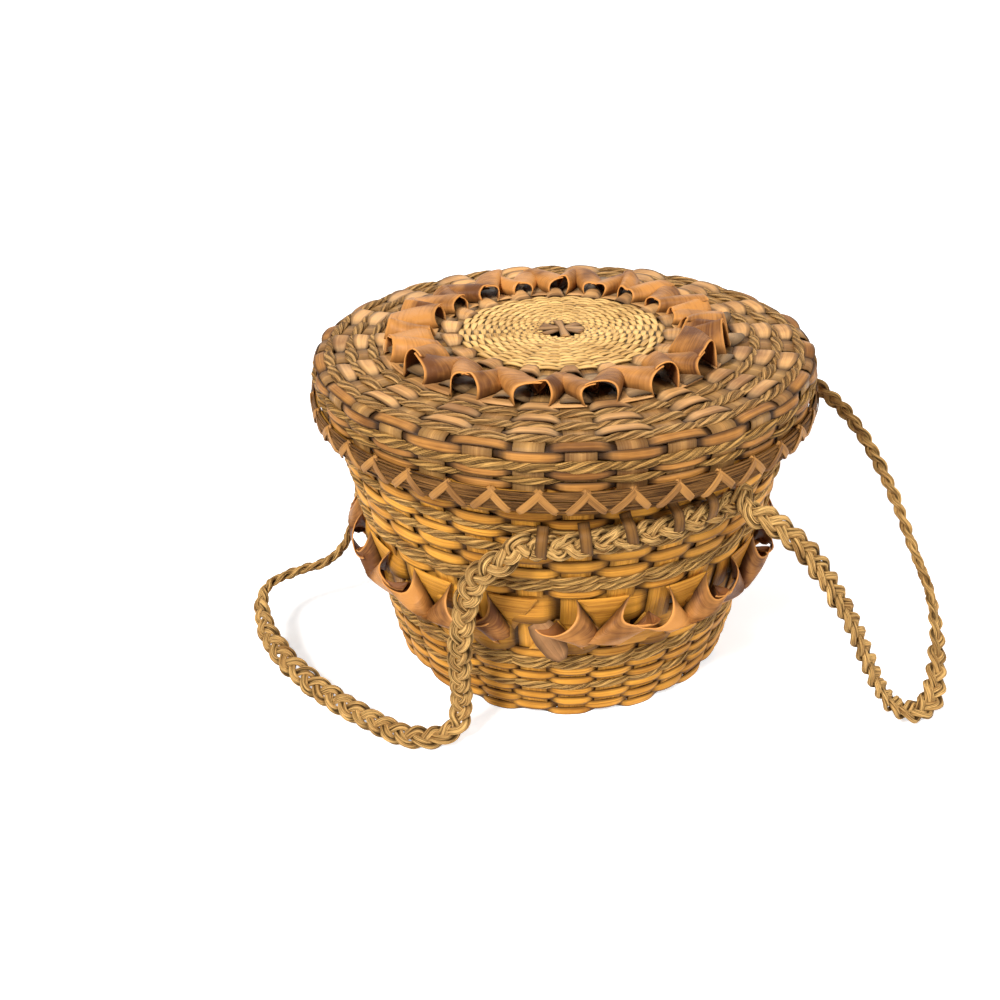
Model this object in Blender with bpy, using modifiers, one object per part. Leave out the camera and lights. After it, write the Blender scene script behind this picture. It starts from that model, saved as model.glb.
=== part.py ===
"""A lidded basket of ash splint and sweetgrass, with curled overlay bands and braided carrying handles.

The body is a star of flat uprights that turns up from the base. Woven courses pass in front of one upright
and behind the next, and each course here stands for two or three narrow rows of the real weave. The lid is
a second star with its own courses, and its lower rim is a bundle of sweetgrass lashed with a zigzag splint.
One long braid runs round the body: splint loops hold it at the front and back, and between them it hangs
free as the left and right handles.

Metres, +Z up, origin under the middle of the base. The front of the basket faces -Y.
Azimuths are in degrees from the front, growing towards +X.
"""
from math import atan2, ceil, cos, hypot, pi, radians, sin, tau

import bmesh
import bpy
from mathutils import Matrix, Vector

MM = 0.001
# Clearance between two pieces that touch on the real basket
GAP = 0.3 * MM

# Body wall, measured on the middle of the uprights: it flares from the foot to the shoulder
FOOT_RADIUS = 94.8 * MM
BODY_FLARE = 25.2 * MM
FOOT_HEIGHT = 4.4 * MM
SHOULDER_HEIGHT = 146.0 * MM
NECK_HEIGHT = 22.2 * MM
SHOULDER_RADIUS = FOOT_RADIUS + BODY_FLARE
MOUTH_HEIGHT = SHOULDER_HEIGHT + NECK_HEIGHT

# Splints
UPRIGHTS = 32
UPRIGHT_WIDTH = 13.6 * MM
UPRIGHT_THICKNESS = 0.8 * MM
WEAVER_THICKNESS = 0.9 * MM

# Base: the star of uprights turns up this far inside the foot, and the lining stays clear of it
BASE_INSET = 2.4 * MM
BASE_LINING_INSET = 2.6 * MM
BASE_THICKNESS = 2.0 * MM
BASE_LINING_THICKNESS = 1.4 * MM
FOOT_HOOP_THICKNESS = 1.5 * MM

# Woven courses of the body: what each is woven from, and the height of its top edge
BODY_COURSES = (
    ("splint", 20.5 * MM),
    ("sweetgrass", 28.0 * MM),
    ("splint", 36.0 * MM),
    ("sweetgrass", 49.0 * MM),
    ("wide_splint", 69.0 * MM),
    ("wide_splint", 86.0 * MM),
    ("sweetgrass", 98.5 * MM),
    ("splint", 113.0 * MM),
    ("splint", 129.0 * MM),
)
NECK_COURSE_WIDTH = 9.0 * MM
RIM_HOOP_DROP = 3.0 * MM
RIM_HOOP_THICKNESS = 1.0 * MM

# Overlay strips that stand out of the weave in curls
BODY_CURL_LOW = 54.0 * MM
BODY_CURL_HIGH = 84.0 * MM
BODY_CURL_RISE = 10.5 * MM
BODY_CURL_FOOT = 11.0 * MM
LID_CURL_INSIDE = 58.0 * MM
LID_CURL_OUTSIDE = 89.0 * MM
LID_CURL_RISE = 12.5 * MM
LID_CURL_FOOT = 11.5 * MM
CURL_LEAN = 4.5 * MM
# Share of the rise at the strip's two edges
CURL_RISES = (1, 0.8)
CURL_THICKNESS = 0.6 * MM
# (share of its foot to the side, share of its rise) along a curl
CURL_SECTION = ((-0.5, 0), (-0.4, 0.62), (0, 1), (0.4, 0.62), (0.5, 0))
# One curl of the body is torn off, near the front
TORN_CURL = UPRIGHTS - 1

# Lid: its skirt slides over the rim hoops with a clearance, and its top rests on the mouth
LID_UPRIGHTS = 36
LID_CLEARANCE = 0.4 * MM
LID_DEPTH = 27.3 * MM
LID_TAPER = 0.7 * MM
LID_EDGE_BEVEL = 4.7 * MM
LID_CROWN = 4.0 * MM
LID_CENTRE_RADIUS = 46.0 * MM
LID_BED_INSET = 2.0 * MM
LID_BED_MARGIN = 1.0 * MM
LID_SPLINT_WIDTH = 14.0 * MM
LID_SKIRT_SPLINT_WIDTH = 6.8 * MM
LID_COURSE_INSET = 0.5 * MM
LID_HOOP_WIDTH = 10.4 * MM
LID_CENTRE_WEAVE_THICKNESS = 1.2 * MM
LID_CROSS_LENGTH = 24.0 * MM
LID_CROSS_WIDTH = 3.6 * MM
LID_CROSS_THICKNESS = 0.6 * MM
LID_HOOP_THICKNESS = 1.0 * MM
BUNDLE_DEPTH = 1.5 * MM
BUNDLE_HEIGHT = 8.0 * MM
# (share of its depth, share of its height) round the bundle's section
BUNDLE_SECTION = ((0, 0), (0.7, 0.08), (1, 0.35), (1, 0.65), (0.7, 0.92), (0, 1))
LASHINGS = 40
LASHING_THICKNESS = 0.5 * MM
LASHING_WIDTH = 3.4 * MM

# Carrying braid: a flat braid, drawn as the tube between its width and its thickness
BRAID_DIAMETER = 8.0 * MM
BRAID_LOOPS = 5
LOOP_WIDTH = 5.5 * MM
LOOP_THICKNESS = 0.7 * MM
LOOP_TUCK = 1.8 * MM
# (share of its reach out, share of its reach up) at the upper bends of a loop
LOOP_SECTION = ((0.05, 1), (0.75, 0.85), (1, 0.35))
# The azimuths between which the braid is lashed, and the height at which it lies at each
FRONT_LASHED = (-10.0, 35.0)
FRONT_HEIGHTS = (121.0 * MM, 130.0 * MM)
BACK_LASHED = (130.0, 210.0)
BACK_HEIGHTS = (120.0 * MM, 121.0 * MM)
# Angle between two points of a lashed stretch, in degrees
LASHED_STEP = 6.0

# The free stretches between them, in millimetres, from the front to the back
LEFT_ROUTE = (
    (-31, -121, 116.5), (-40, -120, 110), (-47, -117.5, 101), (-51, -114.5, 88), (-53.5, -113.5, 72),
    (-55.5, -113, 56), (-56, -111.5, 37), (-56, -110, 20.5), (-59, -111.5, 9.5), (-68, -114.5, 5),
    (-79, -115, 4.6), (-89, -111.5, 4.8), (-104, -101.5, 5.5), (-121, -90, 7.5), (-137, -78, 11),
    (-152, -64, 16), (-164, -47, 21), (-170, -30, 26), (-170, -17, 29), (-163, -9, 31),
    (-150, -3, 33), (-135, 3, 35), (-125, 15, 42), (-120, 35, 56), (-112, 58, 76), (-97, 82, 97),
    (-79, 99, 112),
)
RIGHT_ROUTE = (
    (78, -105, 128), (86, -106.5, 124), (94, -107.5, 118.5), (103, -109.5, 110.5), (113, -111, 98),
    (124, -111.5, 81), (134, -111, 63), (143, -110.5, 44), (152, -110, 26), (161, -108.5, 13.5),
    (171, -107, 6), (181, -103, 4.8), (189, -93, 8), (195, -78, 15), (198, -62, 26), (197, -48, 39),
    (193, -36, 51), (189, -21, 64), (185, -5, 77), (179, 12, 90), (171, 26.5, 102), (162, 39, 111),
    (151, 48.5, 117.5), (139, 59, 118.5), (124, 68, 119),
)
ROUTE_STEPS = 2

# How far each woven row stands off the middle of the uprights, to its own middle and to its face
WEAVE_OFFSET = UPRIGHT_THICKNESS / 2 + GAP + WEAVER_THICKNESS / 2
WEAVE_OUTSIDE = WEAVE_OFFSET + WEAVER_THICKNESS / 2

# How far the near face of a hoop stands off the middle of the uprights that it binds
HOOP_STAND_OFF = UPRIGHT_THICKNESS / 2 + 2 * GAP
RIM_HOOP_INSIDE = hypot(SHOULDER_RADIUS, UPRIGHT_WIDTH / 2) + HOOP_STAND_OFF
RIM_HOOP_OUTSIDE = (RIM_HOOP_INSIDE + RIM_HOOP_THICKNESS) / cos(pi / UPRIGHTS)

# Radii and heights of the lid, on the middle of its uprights
LID_INSIDE = RIM_HOOP_OUTSIDE + LID_CLEARANCE
LID_HOOP_RADIUS = (LID_INSIDE + LID_HOOP_THICKNESS + HOOP_STAND_OFF) / cos(pi / LID_UPRIGHTS)
LID_EDGE_RADIUS = LID_HOOP_RADIUS + LID_TAPER
LID_TOP_RADIUS = LID_EDGE_RADIUS - LID_EDGE_BEVEL
LID_BED_OUTSIDE = LID_CURL_OUTSIDE + LID_BED_MARGIN
LID_SPLINT_OUTSIDE = LID_BED_OUTSIDE + LID_SPLINT_WIDTH
LID_TOP_HEIGHT = MOUTH_HEIGHT + GAP + WEAVE_OUTSIDE
LID_EDGE_HEIGHT = LID_TOP_HEIGHT - LID_EDGE_BEVEL
LID_HOOP_LOW = LID_TOP_HEIGHT - LID_DEPTH
LID_HOOP_HIGH = LID_HOOP_LOW + LID_HOOP_WIDTH
LID_SKIRT_JOIN = LID_HOOP_HIGH + LID_SKIRT_SPLINT_WIDTH

SPLINT = ((0.66, 0.42, 0.17), 0.55)
WIDE_SPLINT = ((0.55, 0.31, 0.12), 0.55)
SWEETGRASS = ((0.71, 0.53, 0.28), 0.75)
CURL = ((0.36, 0.17, 0.07), 0.5)
BRAID = ((0.45, 0.29, 0.13), 0.8)
WOVEN_OF = {"splint": SPLINT, "wide_splint": WIDE_SPLINT, "sweetgrass": SWEETGRASS}


def clear_scene():
    for obj in list(bpy.data.objects):
        bpy.data.objects.remove(obj)


def add_object(name, data, look, parent=None):
    """The piece in the basket's collection, with a material of its own, hung on parent where it lies."""
    colour, roughness = look
    material = bpy.data.materials.new(name)
    material.use_nodes = True
    shader = material.node_tree.nodes["Principled BSDF"]
    shader.inputs["Base Color"].default_value = (*colour, 1)
    shader.inputs["Roughness"].default_value = roughness
    shader.inputs["Metallic"].default_value = 0
    data.materials.append(material)
    obj = bpy.data.objects.new(name, data)
    BASKET.objects.link(obj)
    if parent:
        obj.parent = parent
        obj.matrix_parent_inverse = parent.matrix_world.inverted()
    return obj


def thicken(obj, thickness):
    """Gives an open surface its thickness, half on each side."""
    solidify = obj.modifiers.new("Thickness", "SOLIDIFY")
    solidify.thickness = thickness
    solidify.offset = 0
    solidify.use_even_offset = True


def mesh_from(name, bm):
    mesh = bpy.data.meshes.new(name)
    bm.to_mesh(mesh)
    bm.free()
    return mesh


def closed_strip(name, columns, place, thickness, look, parent=None, rows=1):
    """A strip that closes on itself: place(column, row) gives its points, and columns wrap round."""
    bm = bmesh.new()
    bmesh.ops.create_grid(bm, x_segments=columns, y_segments=rows, size=0.5)
    for vert in bm.verts:
        column = round((vert.co.x + 0.5) * columns)
        row = round((vert.co.y + 0.5) * rows)
        vert.co = place(column % columns, row)
    bmesh.ops.remove_doubles(bm, verts=bm.verts, dist=1e-7)
    obj = add_object(name, mesh_from(name, bm), look, parent)
    thicken(obj, thickness)
    return obj


def polar(radius, angle, height):
    """The point at that angle in radians from the front, growing towards +X."""
    return Vector((radius * sin(angle), -radius * cos(angle), height))


def across(low, high, share):
    return low + (high - low) * share


def wall_radius(height):
    """Middle of the uprights on the body: a straight flare up to the shoulder, then a plain neck."""
    share = (height - FOOT_HEIGHT) / (SHOULDER_HEIGHT - FOOT_HEIGHT)
    return across(FOOT_RADIUS, SHOULDER_RADIUS, min(share, 1))


def lid_height(radius):
    """Middle of the uprights on the lid's top, which falls a little from its crown to its edge."""
    share = (radius - LID_CENTRE_RADIUS) / (LID_TOP_RADIUS - LID_CENTRE_RADIUS)
    return LID_TOP_HEIGHT + LID_CROWN * (1 - max(share, 0))


def skirt_radius(height):
    """Middle of the uprights on the lid's skirt."""
    share = (height - LID_HOOP_LOW) / (LID_EDGE_HEIGHT - LID_HOOP_LOW)
    return across(LID_HOOP_RADIUS, LID_EDGE_RADIUS, share)


def half_angle(width, radius):
    """Half the angle that a flat splint of that width covers at that radius."""
    return atan2(width / 2, radius)


def star(name, count, centre_radius, centre_height, profile, look, parent=None):
    """Flat uprights round a centre plate. Each runs through the (radius, height, width) in the profile."""
    bm = bmesh.new()
    bmesh.ops.create_circle(bm, cap_ends=True, segments=2 * count, radius=centre_radius)
    bm.verts.ensure_lookup_table()
    first = profile[0]
    spread = half_angle(first[2], first[0])
    ring = []
    for index, vert in enumerate(bm.verts):
        side = 1 if index % 2 else -1
        angle = tau * (index // 2) / count + side * spread
        vert.co = polar(centre_radius, angle, centre_height)
        ring.append(vert)
    for upright in range(count):
        middle = tau * upright / count
        pair = (ring[2 * upright], ring[2 * upright + 1])
        edge = bm.edges.get(pair)
        for radius, height, width in profile:
            grown = bmesh.ops.extrude_edge_only(bm, edges=[edge])["geom"]
            edge = next(
                item for item in grown
                if isinstance(item, bmesh.types.BMEdge) and all(end in grown for end in item.verts)
            )
            spread = half_angle(width, radius)
            for vert in edge.verts:
                turn = atan2(vert.co.x, -vert.co.y) - middle
                side = 1 if sin(turn) > 0 else -1
                vert.co = polar(radius / cos(spread), middle + side * spread, height)
    bmesh.ops.recalc_face_normals(bm, faces=bm.faces)
    obj = add_object(name, mesh_from(name, bm), look, parent)
    thicken(obj, UPRIGHT_THICKNESS)
    return obj


def course(name, count, width, low, high, phase, look, parent=None):
    """One woven course. Low and high are the (radius, height) of its edges on the middle of the uprights.

    It lies flat along each upright, outside where upright + phase is even and inside where it is odd,
    and crosses over in the gap between two uprights.
    """
    run = Vector((high[0] - low[0], high[1] - low[1])).normalized()
    outward = Vector((run.y, -run.x))

    def place(column, row):
        radius, height = high if row else low
        upright = column // 2
        side = 1 if column % 2 else -1
        stand_off = WEAVE_OFFSET if (upright + phase) % 2 == 0 else -WEAVE_OFFSET
        spread = half_angle(width(radius) + 2 * GAP, radius)
        flat = (radius + stand_off * outward.x) / cos(spread)
        return polar(flat, tau * upright / count + side * spread, height + stand_off * outward.y)

    return closed_strip(name, 2 * count, place, WEAVER_THICKNESS, look, parent)


def hoop(name, sides, inside, thickness, low, high, look, parent=None):
    """A flat splint hoop with vertical walls. Inside is the least radius of its inner face."""
    radius = (inside + thickness / 2) / cos(pi / sides)

    def place(column, row):
        return polar(radius, tau * (column + 0.5) / sides, high if row else low)

    return closed_strip(name, sides, place, thickness, look, parent)


def disc(name, sides, radius, low, thickness, look, parent=None):
    """A round plate with flat faces."""
    bm = bmesh.new()
    lift = Matrix.Translation((0, 0, low + thickness / 2))
    bmesh.ops.create_cone(
        bm, cap_ends=True, segments=sides, radius1=radius, radius2=radius, depth=thickness, matrix=lift
    )
    return add_object(name, mesh_from(name, bm), look, parent)


def curl_band(name, count, edges, foot, rise, look, parent=None, torn=None):
    """An overlay strip in one unbroken band of curls, which lies flat where a curl is torn off.

    Edges are the (radius, height) of the strip's two edges where it is tucked in. At the first edge the
    curls lean towards each other in pairs, and at the second they lean apart.
    """
    (first_radius, first_height), (last_radius, last_height) = edges
    run = Vector((last_radius - first_radius, last_height - first_height)).normalized()
    outward = Vector((run.y, -run.x))
    tucked = WEAVE_OUTSIDE + 2 * GAP + CURL_THICKNESS / 2

    def place(column, row):
        curl, step = divmod(column, len(CURL_SECTION))
        aside, up = CURL_SECTION[step]
        up = 0 if curl == torn else up
        lean = CURL_LEAN if (curl + row) % 2 == 0 else -CURL_LEAN
        angle = tau * curl / count + (aside * foot + up * lean) / first_radius
        stand_off = tucked + rise * CURL_RISES[row] * up
        radius, height = edges[row]
        return polar(radius + stand_off * outward.x, angle, height + stand_off * outward.y)

    return closed_strip(name, count * len(CURL_SECTION), place, CURL_THICKNESS, look, parent)


def smooth_route(points, steps):
    """A Catmull-Rom curve through the points, with that many steps between two of them."""
    ends = [2 * points[0] - points[1], *points, 2 * points[-1] - points[-2]]
    route = []
    for index in range(len(points) - 1):
        a, b, c, d = ends[index:index + 4]
        for step in range(steps):
            t = step / steps
            square = (2 * a - 5 * b + 4 * c - d) * t ** 2
            cube = (3 * b - a - 3 * c + d) * t ** 3
            route.append(0.5 * (2 * b + (c - a) * t + square + cube))
    return route + [points[-1]]


def tube(name, points, diameter, look, parent=None):
    """A closed tube along the points."""
    data = bpy.data.curves.new(name, "CURVE")
    data.dimensions = "3D"
    data.bevel_depth = diameter / 2
    data.bevel_resolution = 2
    data.use_fill_caps = True
    spline = data.splines.new("POLY")
    spline.points.add(len(points) - 1)
    for knot, point in zip(spline.points, points):
        knot.co = (*point, 1)
    return add_object(name, data, look, parent)


def braid_point(azimuth, height):
    """Middle of the lashed braid, where it lies against the weave."""
    seat = wall_radius(height) + WEAVE_OUTSIDE + 2 * GAP + BRAID_DIAMETER / 2
    return polar(seat, radians(azimuth), height)


def lashed_place(azimuths, heights, share):
    """The azimuth and height at that share of a lashed stretch, which climbs steadily."""
    return across(*azimuths, share), across(*heights, share)


def lashed_points(azimuths, heights):
    steps = ceil((azimuths[1] - azimuths[0]) / LASHED_STEP)
    return [braid_point(*lashed_place(azimuths, heights, step / steps)) for step in range(steps + 1)]


def carried_on(lashed):
    """Two points that carry a lashed stretch straight on, by a clearance and by a diameter."""
    run = (lashed[-1] - lashed[-2]).normalized()
    return [lashed[-1] + run * length for length in (2 * GAP, BRAID_DIAMETER)]


def braid_loop(name, azimuth, height):
    """A splint loop: out over the braid, with both ends tucked against the weave above and below it."""
    bm = bmesh.new()
    wall = wall_radius(height) + WEAVE_OUTSIDE + GAP + LOOP_THICKNESS / 2
    lean = (SHOULDER_RADIUS - FOOT_RADIUS) / (SHOULDER_HEIGHT - FOOT_HEIGHT)
    over = 2 * GAP + BRAID_DIAMETER + LOOP_THICKNESS / 2
    reach = BRAID_DIAMETER / 2 + 2 * GAP + LOOP_THICKNESS
    # Each point is a distance out from the weave and a height above the middle of the braid
    upper = [(0, reach + LOOP_TUCK)] + [(over * out, reach * up) for out, up in LOOP_SECTION]
    path = upper + [(out, -up) for out, up in reversed(upper)]
    bmesh.ops.create_grid(bm, x_segments=len(path) - 1, y_segments=1, size=0.5)
    spread = half_angle(LOOP_WIDTH, wall)
    for vert in bm.verts:
        out, rise = path[round((vert.co.x + 0.5) * (len(path) - 1))]
        side = 1 if vert.co.y > 0 else -1
        vert.co = polar(wall + out + lean * rise, radians(azimuth) + side * spread, height + rise)
    obj = add_object(name, mesh_from(name, bm), CURL)
    thicken(obj, LOOP_THICKNESS)
    return obj


def joint_at(name, place, axis):
    """An empty on a joint, with its local Z along the joint's axis."""
    empty = bpy.data.objects.new(name, None)
    empty.matrix_world = Matrix.Translation(place) @ axis.to_track_quat("Z", "Y").to_matrix().to_4x4()
    BASKET.objects.link(empty)
    return empty


def make_base():
    """The woven base: the plate that stands on the floor, its lining inside, and the hoop round its foot."""
    spokes = BASE_THICKNESS + GAP + UPRIGHT_THICKNESS / 2
    base_radius = FOOT_RADIUS - BASE_INSET
    disc("base_weave", 2 * UPRIGHTS, base_radius, 0, BASE_THICKNESS, SPLINT)
    lining = spokes + UPRIGHT_THICKNESS / 2 + GAP
    lining_radius = base_radius - BASE_LINING_INSET
    disc("base_lining", 2 * UPRIGHTS, lining_radius, lining, BASE_LINING_THICKNESS, SPLINT)
    foot = FOOT_RADIUS + UPRIGHT_THICKNESS / 2 + 2 * GAP
    hoop("foot_hoop", UPRIGHTS, foot, FOOT_HOOP_THICKNESS, 0, FOOT_HEIGHT, SPLINT)
    profile = [
        (wall_radius(height), height, UPRIGHT_WIDTH)
        for height in (FOOT_HEIGHT, SHOULDER_HEIGHT, MOUTH_HEIGHT)
    ]
    star("body_uprights", UPRIGHTS, base_radius, spokes, profile, SPLINT)


def make_wall():
    """The courses of the body from the foot up, the neck course, and the two hoops that bind the mouth."""
    def width(radius):
        return UPRIGHT_WIDTH

    low = FOOT_HEIGHT + GAP
    for number, (woven_of, high) in enumerate(BODY_COURSES, 1):
        edges = [(wall_radius(height), height) for height in (low, high)]
        name = f"body_course_{number:02d}_{woven_of}"
        course(name, UPRIGHTS, width, *edges, number, WOVEN_OF[woven_of])
        low = high + GAP
    shoulder = SHOULDER_HEIGHT
    edges = [(wall_radius(height), height) for height in (low, shoulder - GAP)]
    course("body_course_shoulder", UPRIGHTS, width, *edges, len(BODY_COURSES) + 1, SPLINT)
    neck_top = shoulder + NECK_COURSE_WIDTH
    edges = [(wall_radius(height), height) for height in (shoulder, neck_top)]
    course("body_course_neck", UPRIGHTS, width, *edges, len(BODY_COURSES), SPLINT)
    low, high = neck_top + 2 * GAP, MOUTH_HEIGHT - RIM_HOOP_DROP
    hoop("rim_hoop_outer", UPRIGHTS, RIM_HOOP_INSIDE, RIM_HOOP_THICKNESS, low, high, SPLINT)
    inside = SHOULDER_RADIUS * cos(pi / UPRIGHTS) - HOOP_STAND_OFF - RIM_HOOP_THICKNESS
    hoop("rim_hoop_inner", UPRIGHTS, inside, RIM_HOOP_THICKNESS, low, high, SPLINT)


def make_lid(lift):
    """The lid: its star of uprights, centre weave, top courses, skirt courses and lashed lower rim."""
    def width(radius):
        """Uprights narrow towards the crown, where there is less room."""
        return UPRIGHT_WIDTH * min(radius / LID_TOP_RADIUS, 1)

    profile = [
        (LID_TOP_RADIUS, LID_TOP_HEIGHT, width(LID_TOP_RADIUS)),
        (LID_EDGE_RADIUS, LID_EDGE_HEIGHT, UPRIGHT_WIDTH),
        (LID_HOOP_RADIUS, LID_HOOP_LOW, UPRIGHT_WIDTH),
    ]
    crown = lid_height(LID_CENTRE_RADIUS)
    star("lid_uprights", LID_UPRIGHTS, LID_CENTRE_RADIUS, crown, profile, SPLINT, lift)
    top = crown + UPRIGHT_THICKNESS / 2 + GAP
    disc("lid_centre_weave", LID_UPRIGHTS, LID_CENTRE_RADIUS, top, LID_CENTRE_WEAVE_THICKNESS, SPLINT, lift)
    make_lid_cross(top + LID_CENTRE_WEAVE_THICKNESS + GAP, lift)
    rings = (
        ("bed_wide_splint", LID_CENTRE_RADIUS + LID_BED_INSET, LID_BED_OUTSIDE, WIDE_SPLINT),
        ("top_splint", LID_BED_OUTSIDE + GAP, LID_SPLINT_OUTSIDE, SPLINT),
        ("top_sweetgrass", LID_SPLINT_OUTSIDE + GAP, LID_TOP_RADIUS - LID_COURSE_INSET, SWEETGRASS),
    )
    for number, (name, inside, outside, look) in enumerate(rings):
        edges = [(radius, lid_height(radius)) for radius in (outside, inside)]
        course(f"lid_course_{name}", LID_UPRIGHTS, width, *edges, number, look, lift)
    edges = (
        (LID_EDGE_RADIUS - LID_COURSE_INSET, LID_EDGE_HEIGHT + LID_COURSE_INSET),
        (LID_TOP_RADIUS + LID_COURSE_INSET, LID_TOP_HEIGHT - LID_COURSE_INSET),
    )
    course("lid_course_edge_splint", LID_UPRIGHTS, width, *edges, len(rings), SPLINT, lift)
    skirt = (
        ("skirt_sweetgrass", LID_SKIRT_JOIN, LID_EDGE_HEIGHT - 2 * GAP, SWEETGRASS),
        ("skirt_splint", LID_HOOP_HIGH + GAP, LID_SKIRT_JOIN - GAP, SPLINT),
    )
    for number, (name, low, high, look) in enumerate(skirt, len(rings) + 1):
        edges = [(skirt_radius(height), height) for height in (low, high)]
        course(f"lid_course_{name}", LID_UPRIGHTS, width, *edges, number, look, lift)
    make_lid_rim(lift)


def make_lid_cross(low, lift):
    """The short splints that cross at the middle of the lid."""
    data = bpy.data.curves.new("lid_centre_cross", "CURVE")
    data.dimensions = "2D"
    data.fill_mode = "BOTH"
    data.extrude = LID_CROSS_THICKNESS / 2
    half_length = LID_CROSS_LENGTH / 2
    half_width = LID_CROSS_WIDTH / 2
    arm = ((half_width, -half_width), (half_length, -half_width), (half_length, half_width))
    spline = data.splines.new("POLY")
    spline.points.add(4 * len(arm) - 1)
    for index, knot in enumerate(spline.points):
        quarter, corner = divmod(index, len(arm))
        turn = Matrix.Rotation(quarter * pi / 2, 2)
        knot.co = (*(turn @ Vector(arm[corner])), 0, 1)
    spline.use_cyclic_u = True
    cross = add_object("lid_centre_cross", data, CURL)
    cross.location.z = low + LID_CROSS_THICKNESS / 2
    cross.rotation_euler.z = pi / 4
    bpy.context.view_layer.update()
    cross.parent = lift
    cross.matrix_parent_inverse = lift.matrix_world.inverted()


def make_lid_rim(lift):
    """The lid's lower rim: a hoop on each side of the uprights, a sweetgrass bundle and its lashing."""
    outside = hypot(skirt_radius(LID_HOOP_HIGH), UPRIGHT_WIDTH / 2) + HOOP_STAND_OFF
    for name, inside in (("lid_hoop_outer", outside), ("lid_hoop_inner", LID_INSIDE)):
        hoop(name, LID_UPRIGHTS, inside, LID_HOOP_THICKNESS, LID_HOOP_LOW, LID_HOOP_HIGH, SPLINT, lift)
    seat = (outside + LID_HOOP_THICKNESS) / cos(pi / LID_UPRIGHTS) + GAP
    top = LID_HOOP_HIGH - GAP
    make_bundle("lid_sweetgrass_bundle", seat, top - BUNDLE_HEIGHT, top, lift)
    lashing = seat + BUNDLE_DEPTH / cos(pi / LID_UPRIGHTS) + GAP + LASHING_THICKNESS / 2

    def place(column, row):
        middle = LID_HOOP_LOW + LASHING_WIDTH / 2
        if column % 2:
            middle = LID_HOOP_HIGH - LASHING_WIDTH / 2
        height = middle + (row - 0.5) * LASHING_WIDTH
        return polar(lashing / cos(pi / (2 * LASHINGS)), pi * column / LASHINGS, height)

    closed_strip("lid_zigzag_lashing", 2 * LASHINGS, place, LASHING_THICKNESS, CURL, lift)


def make_bundle(name, seat, low, high, lift):
    """A turned ring with a rounded outer face. Its corners lie over the corners of the hoop behind it."""
    bm = bmesh.new()
    corner = pi / LID_UPRIGHTS
    verts = [
        bm.verts.new(polar(seat + BUNDLE_DEPTH * out, corner, across(low, high, up)))
        for out, up in BUNDLE_SECTION
    ]
    edges = [bm.edges.new(pair) for pair in zip(verts, verts[1:] + verts[:1])]
    bmesh.ops.spin(
        bm, geom=verts + edges, cent=(0, 0, 0), axis=(0, 0, 1), angle=tau, steps=LID_UPRIGHTS, use_merge=True
    )
    bmesh.ops.recalc_face_normals(bm, faces=bm.faces)
    return add_object(name, mesh_from(name, bm), SWEETGRASS, lift)


def make_curls(lift):
    """The two overlay strips, with a curl for each upright: one round the body, one on the lid."""
    seats = [(wall_radius(height), height) for height in (BODY_CURL_LOW, BODY_CURL_HIGH)]
    curl_band("body_curl_band", UPRIGHTS, seats, BODY_CURL_FOOT, BODY_CURL_RISE, CURL, torn=TORN_CURL)
    seats = [(radius, lid_height(radius)) for radius in (LID_CURL_OUTSIDE, LID_CURL_INSIDE)]
    curl_band("lid_curl_band", LID_UPRIGHTS, seats, LID_CURL_FOOT, LID_CURL_RISE, CURL, lift)


def make_braid():
    """The carrying braid: lashed stretches at the front and back, and a free handle on each side."""
    lashed = {}
    stretches = (("front", FRONT_LASHED, FRONT_HEIGHTS), ("back", BACK_LASHED, BACK_HEIGHTS))
    for side, azimuths, heights in stretches:
        lashed[side] = lashed_points(azimuths, heights)
        tube(f"braid_lashed_{side}", lashed[side], BRAID_DIAMETER, BRAID)
        for number in range(BRAID_LOOPS):
            place = lashed_place(azimuths, heights, (number + 0.5) / BRAID_LOOPS)
            braid_loop(f"braid_loop_{side}_{number + 1}", *place)
    make_handle("left", lashed["front"][::-1], LEFT_ROUTE, lashed["back"])
    make_handle("right", lashed["front"], RIGHT_ROUTE, lashed["back"][::-1])


def make_handle(side, front, route, back):
    """A free stretch of the braid. It swings about the line through the two places where it is held.

    A positive turn raises it, on both sides.
    """
    start, ahead = carried_on(front)
    end, behind = carried_on(back)
    bends = smooth_route([ahead, *(MM * Vector(point) for point in route), behind], ROUTE_STEPS)
    axis = back[-1] - front[-1] if side == "left" else front[-1] - back[-1]
    swing = joint_at(f"{side}_handle_swing", (front[-1] + back[-1]) / 2, axis)
    tube(f"{side}_handle_braid", [start, *bends, end], BRAID_DIAMETER, BRAID, swing)


clear_scene()
BASKET = bpy.data.collections.new("splint_basket")
bpy.context.scene.collection.children.link(BASKET)
lid_lift = joint_at("lid_lift", Vector((0, 0, MOUTH_HEIGHT)), Vector((0, 0, 1)))
make_base()
make_wall()
make_lid(lid_lift)
make_curls(lid_lift)
make_braid()
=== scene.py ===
"""A lidded basket of ash splint and sweetgrass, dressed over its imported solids.

The wall and the lid are flat uprights with rows woven in front of one and behind the next. Two bands of
curled overlay stand out of the weave, the lid's lower rim is lashed with a zigzag, and one long braid is held
by splint loops at the front and back and hangs free at the sides.

Metres, +Z up. The front faces -Y. Angles are in radians from the front, growing towards +X.
"""

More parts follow.
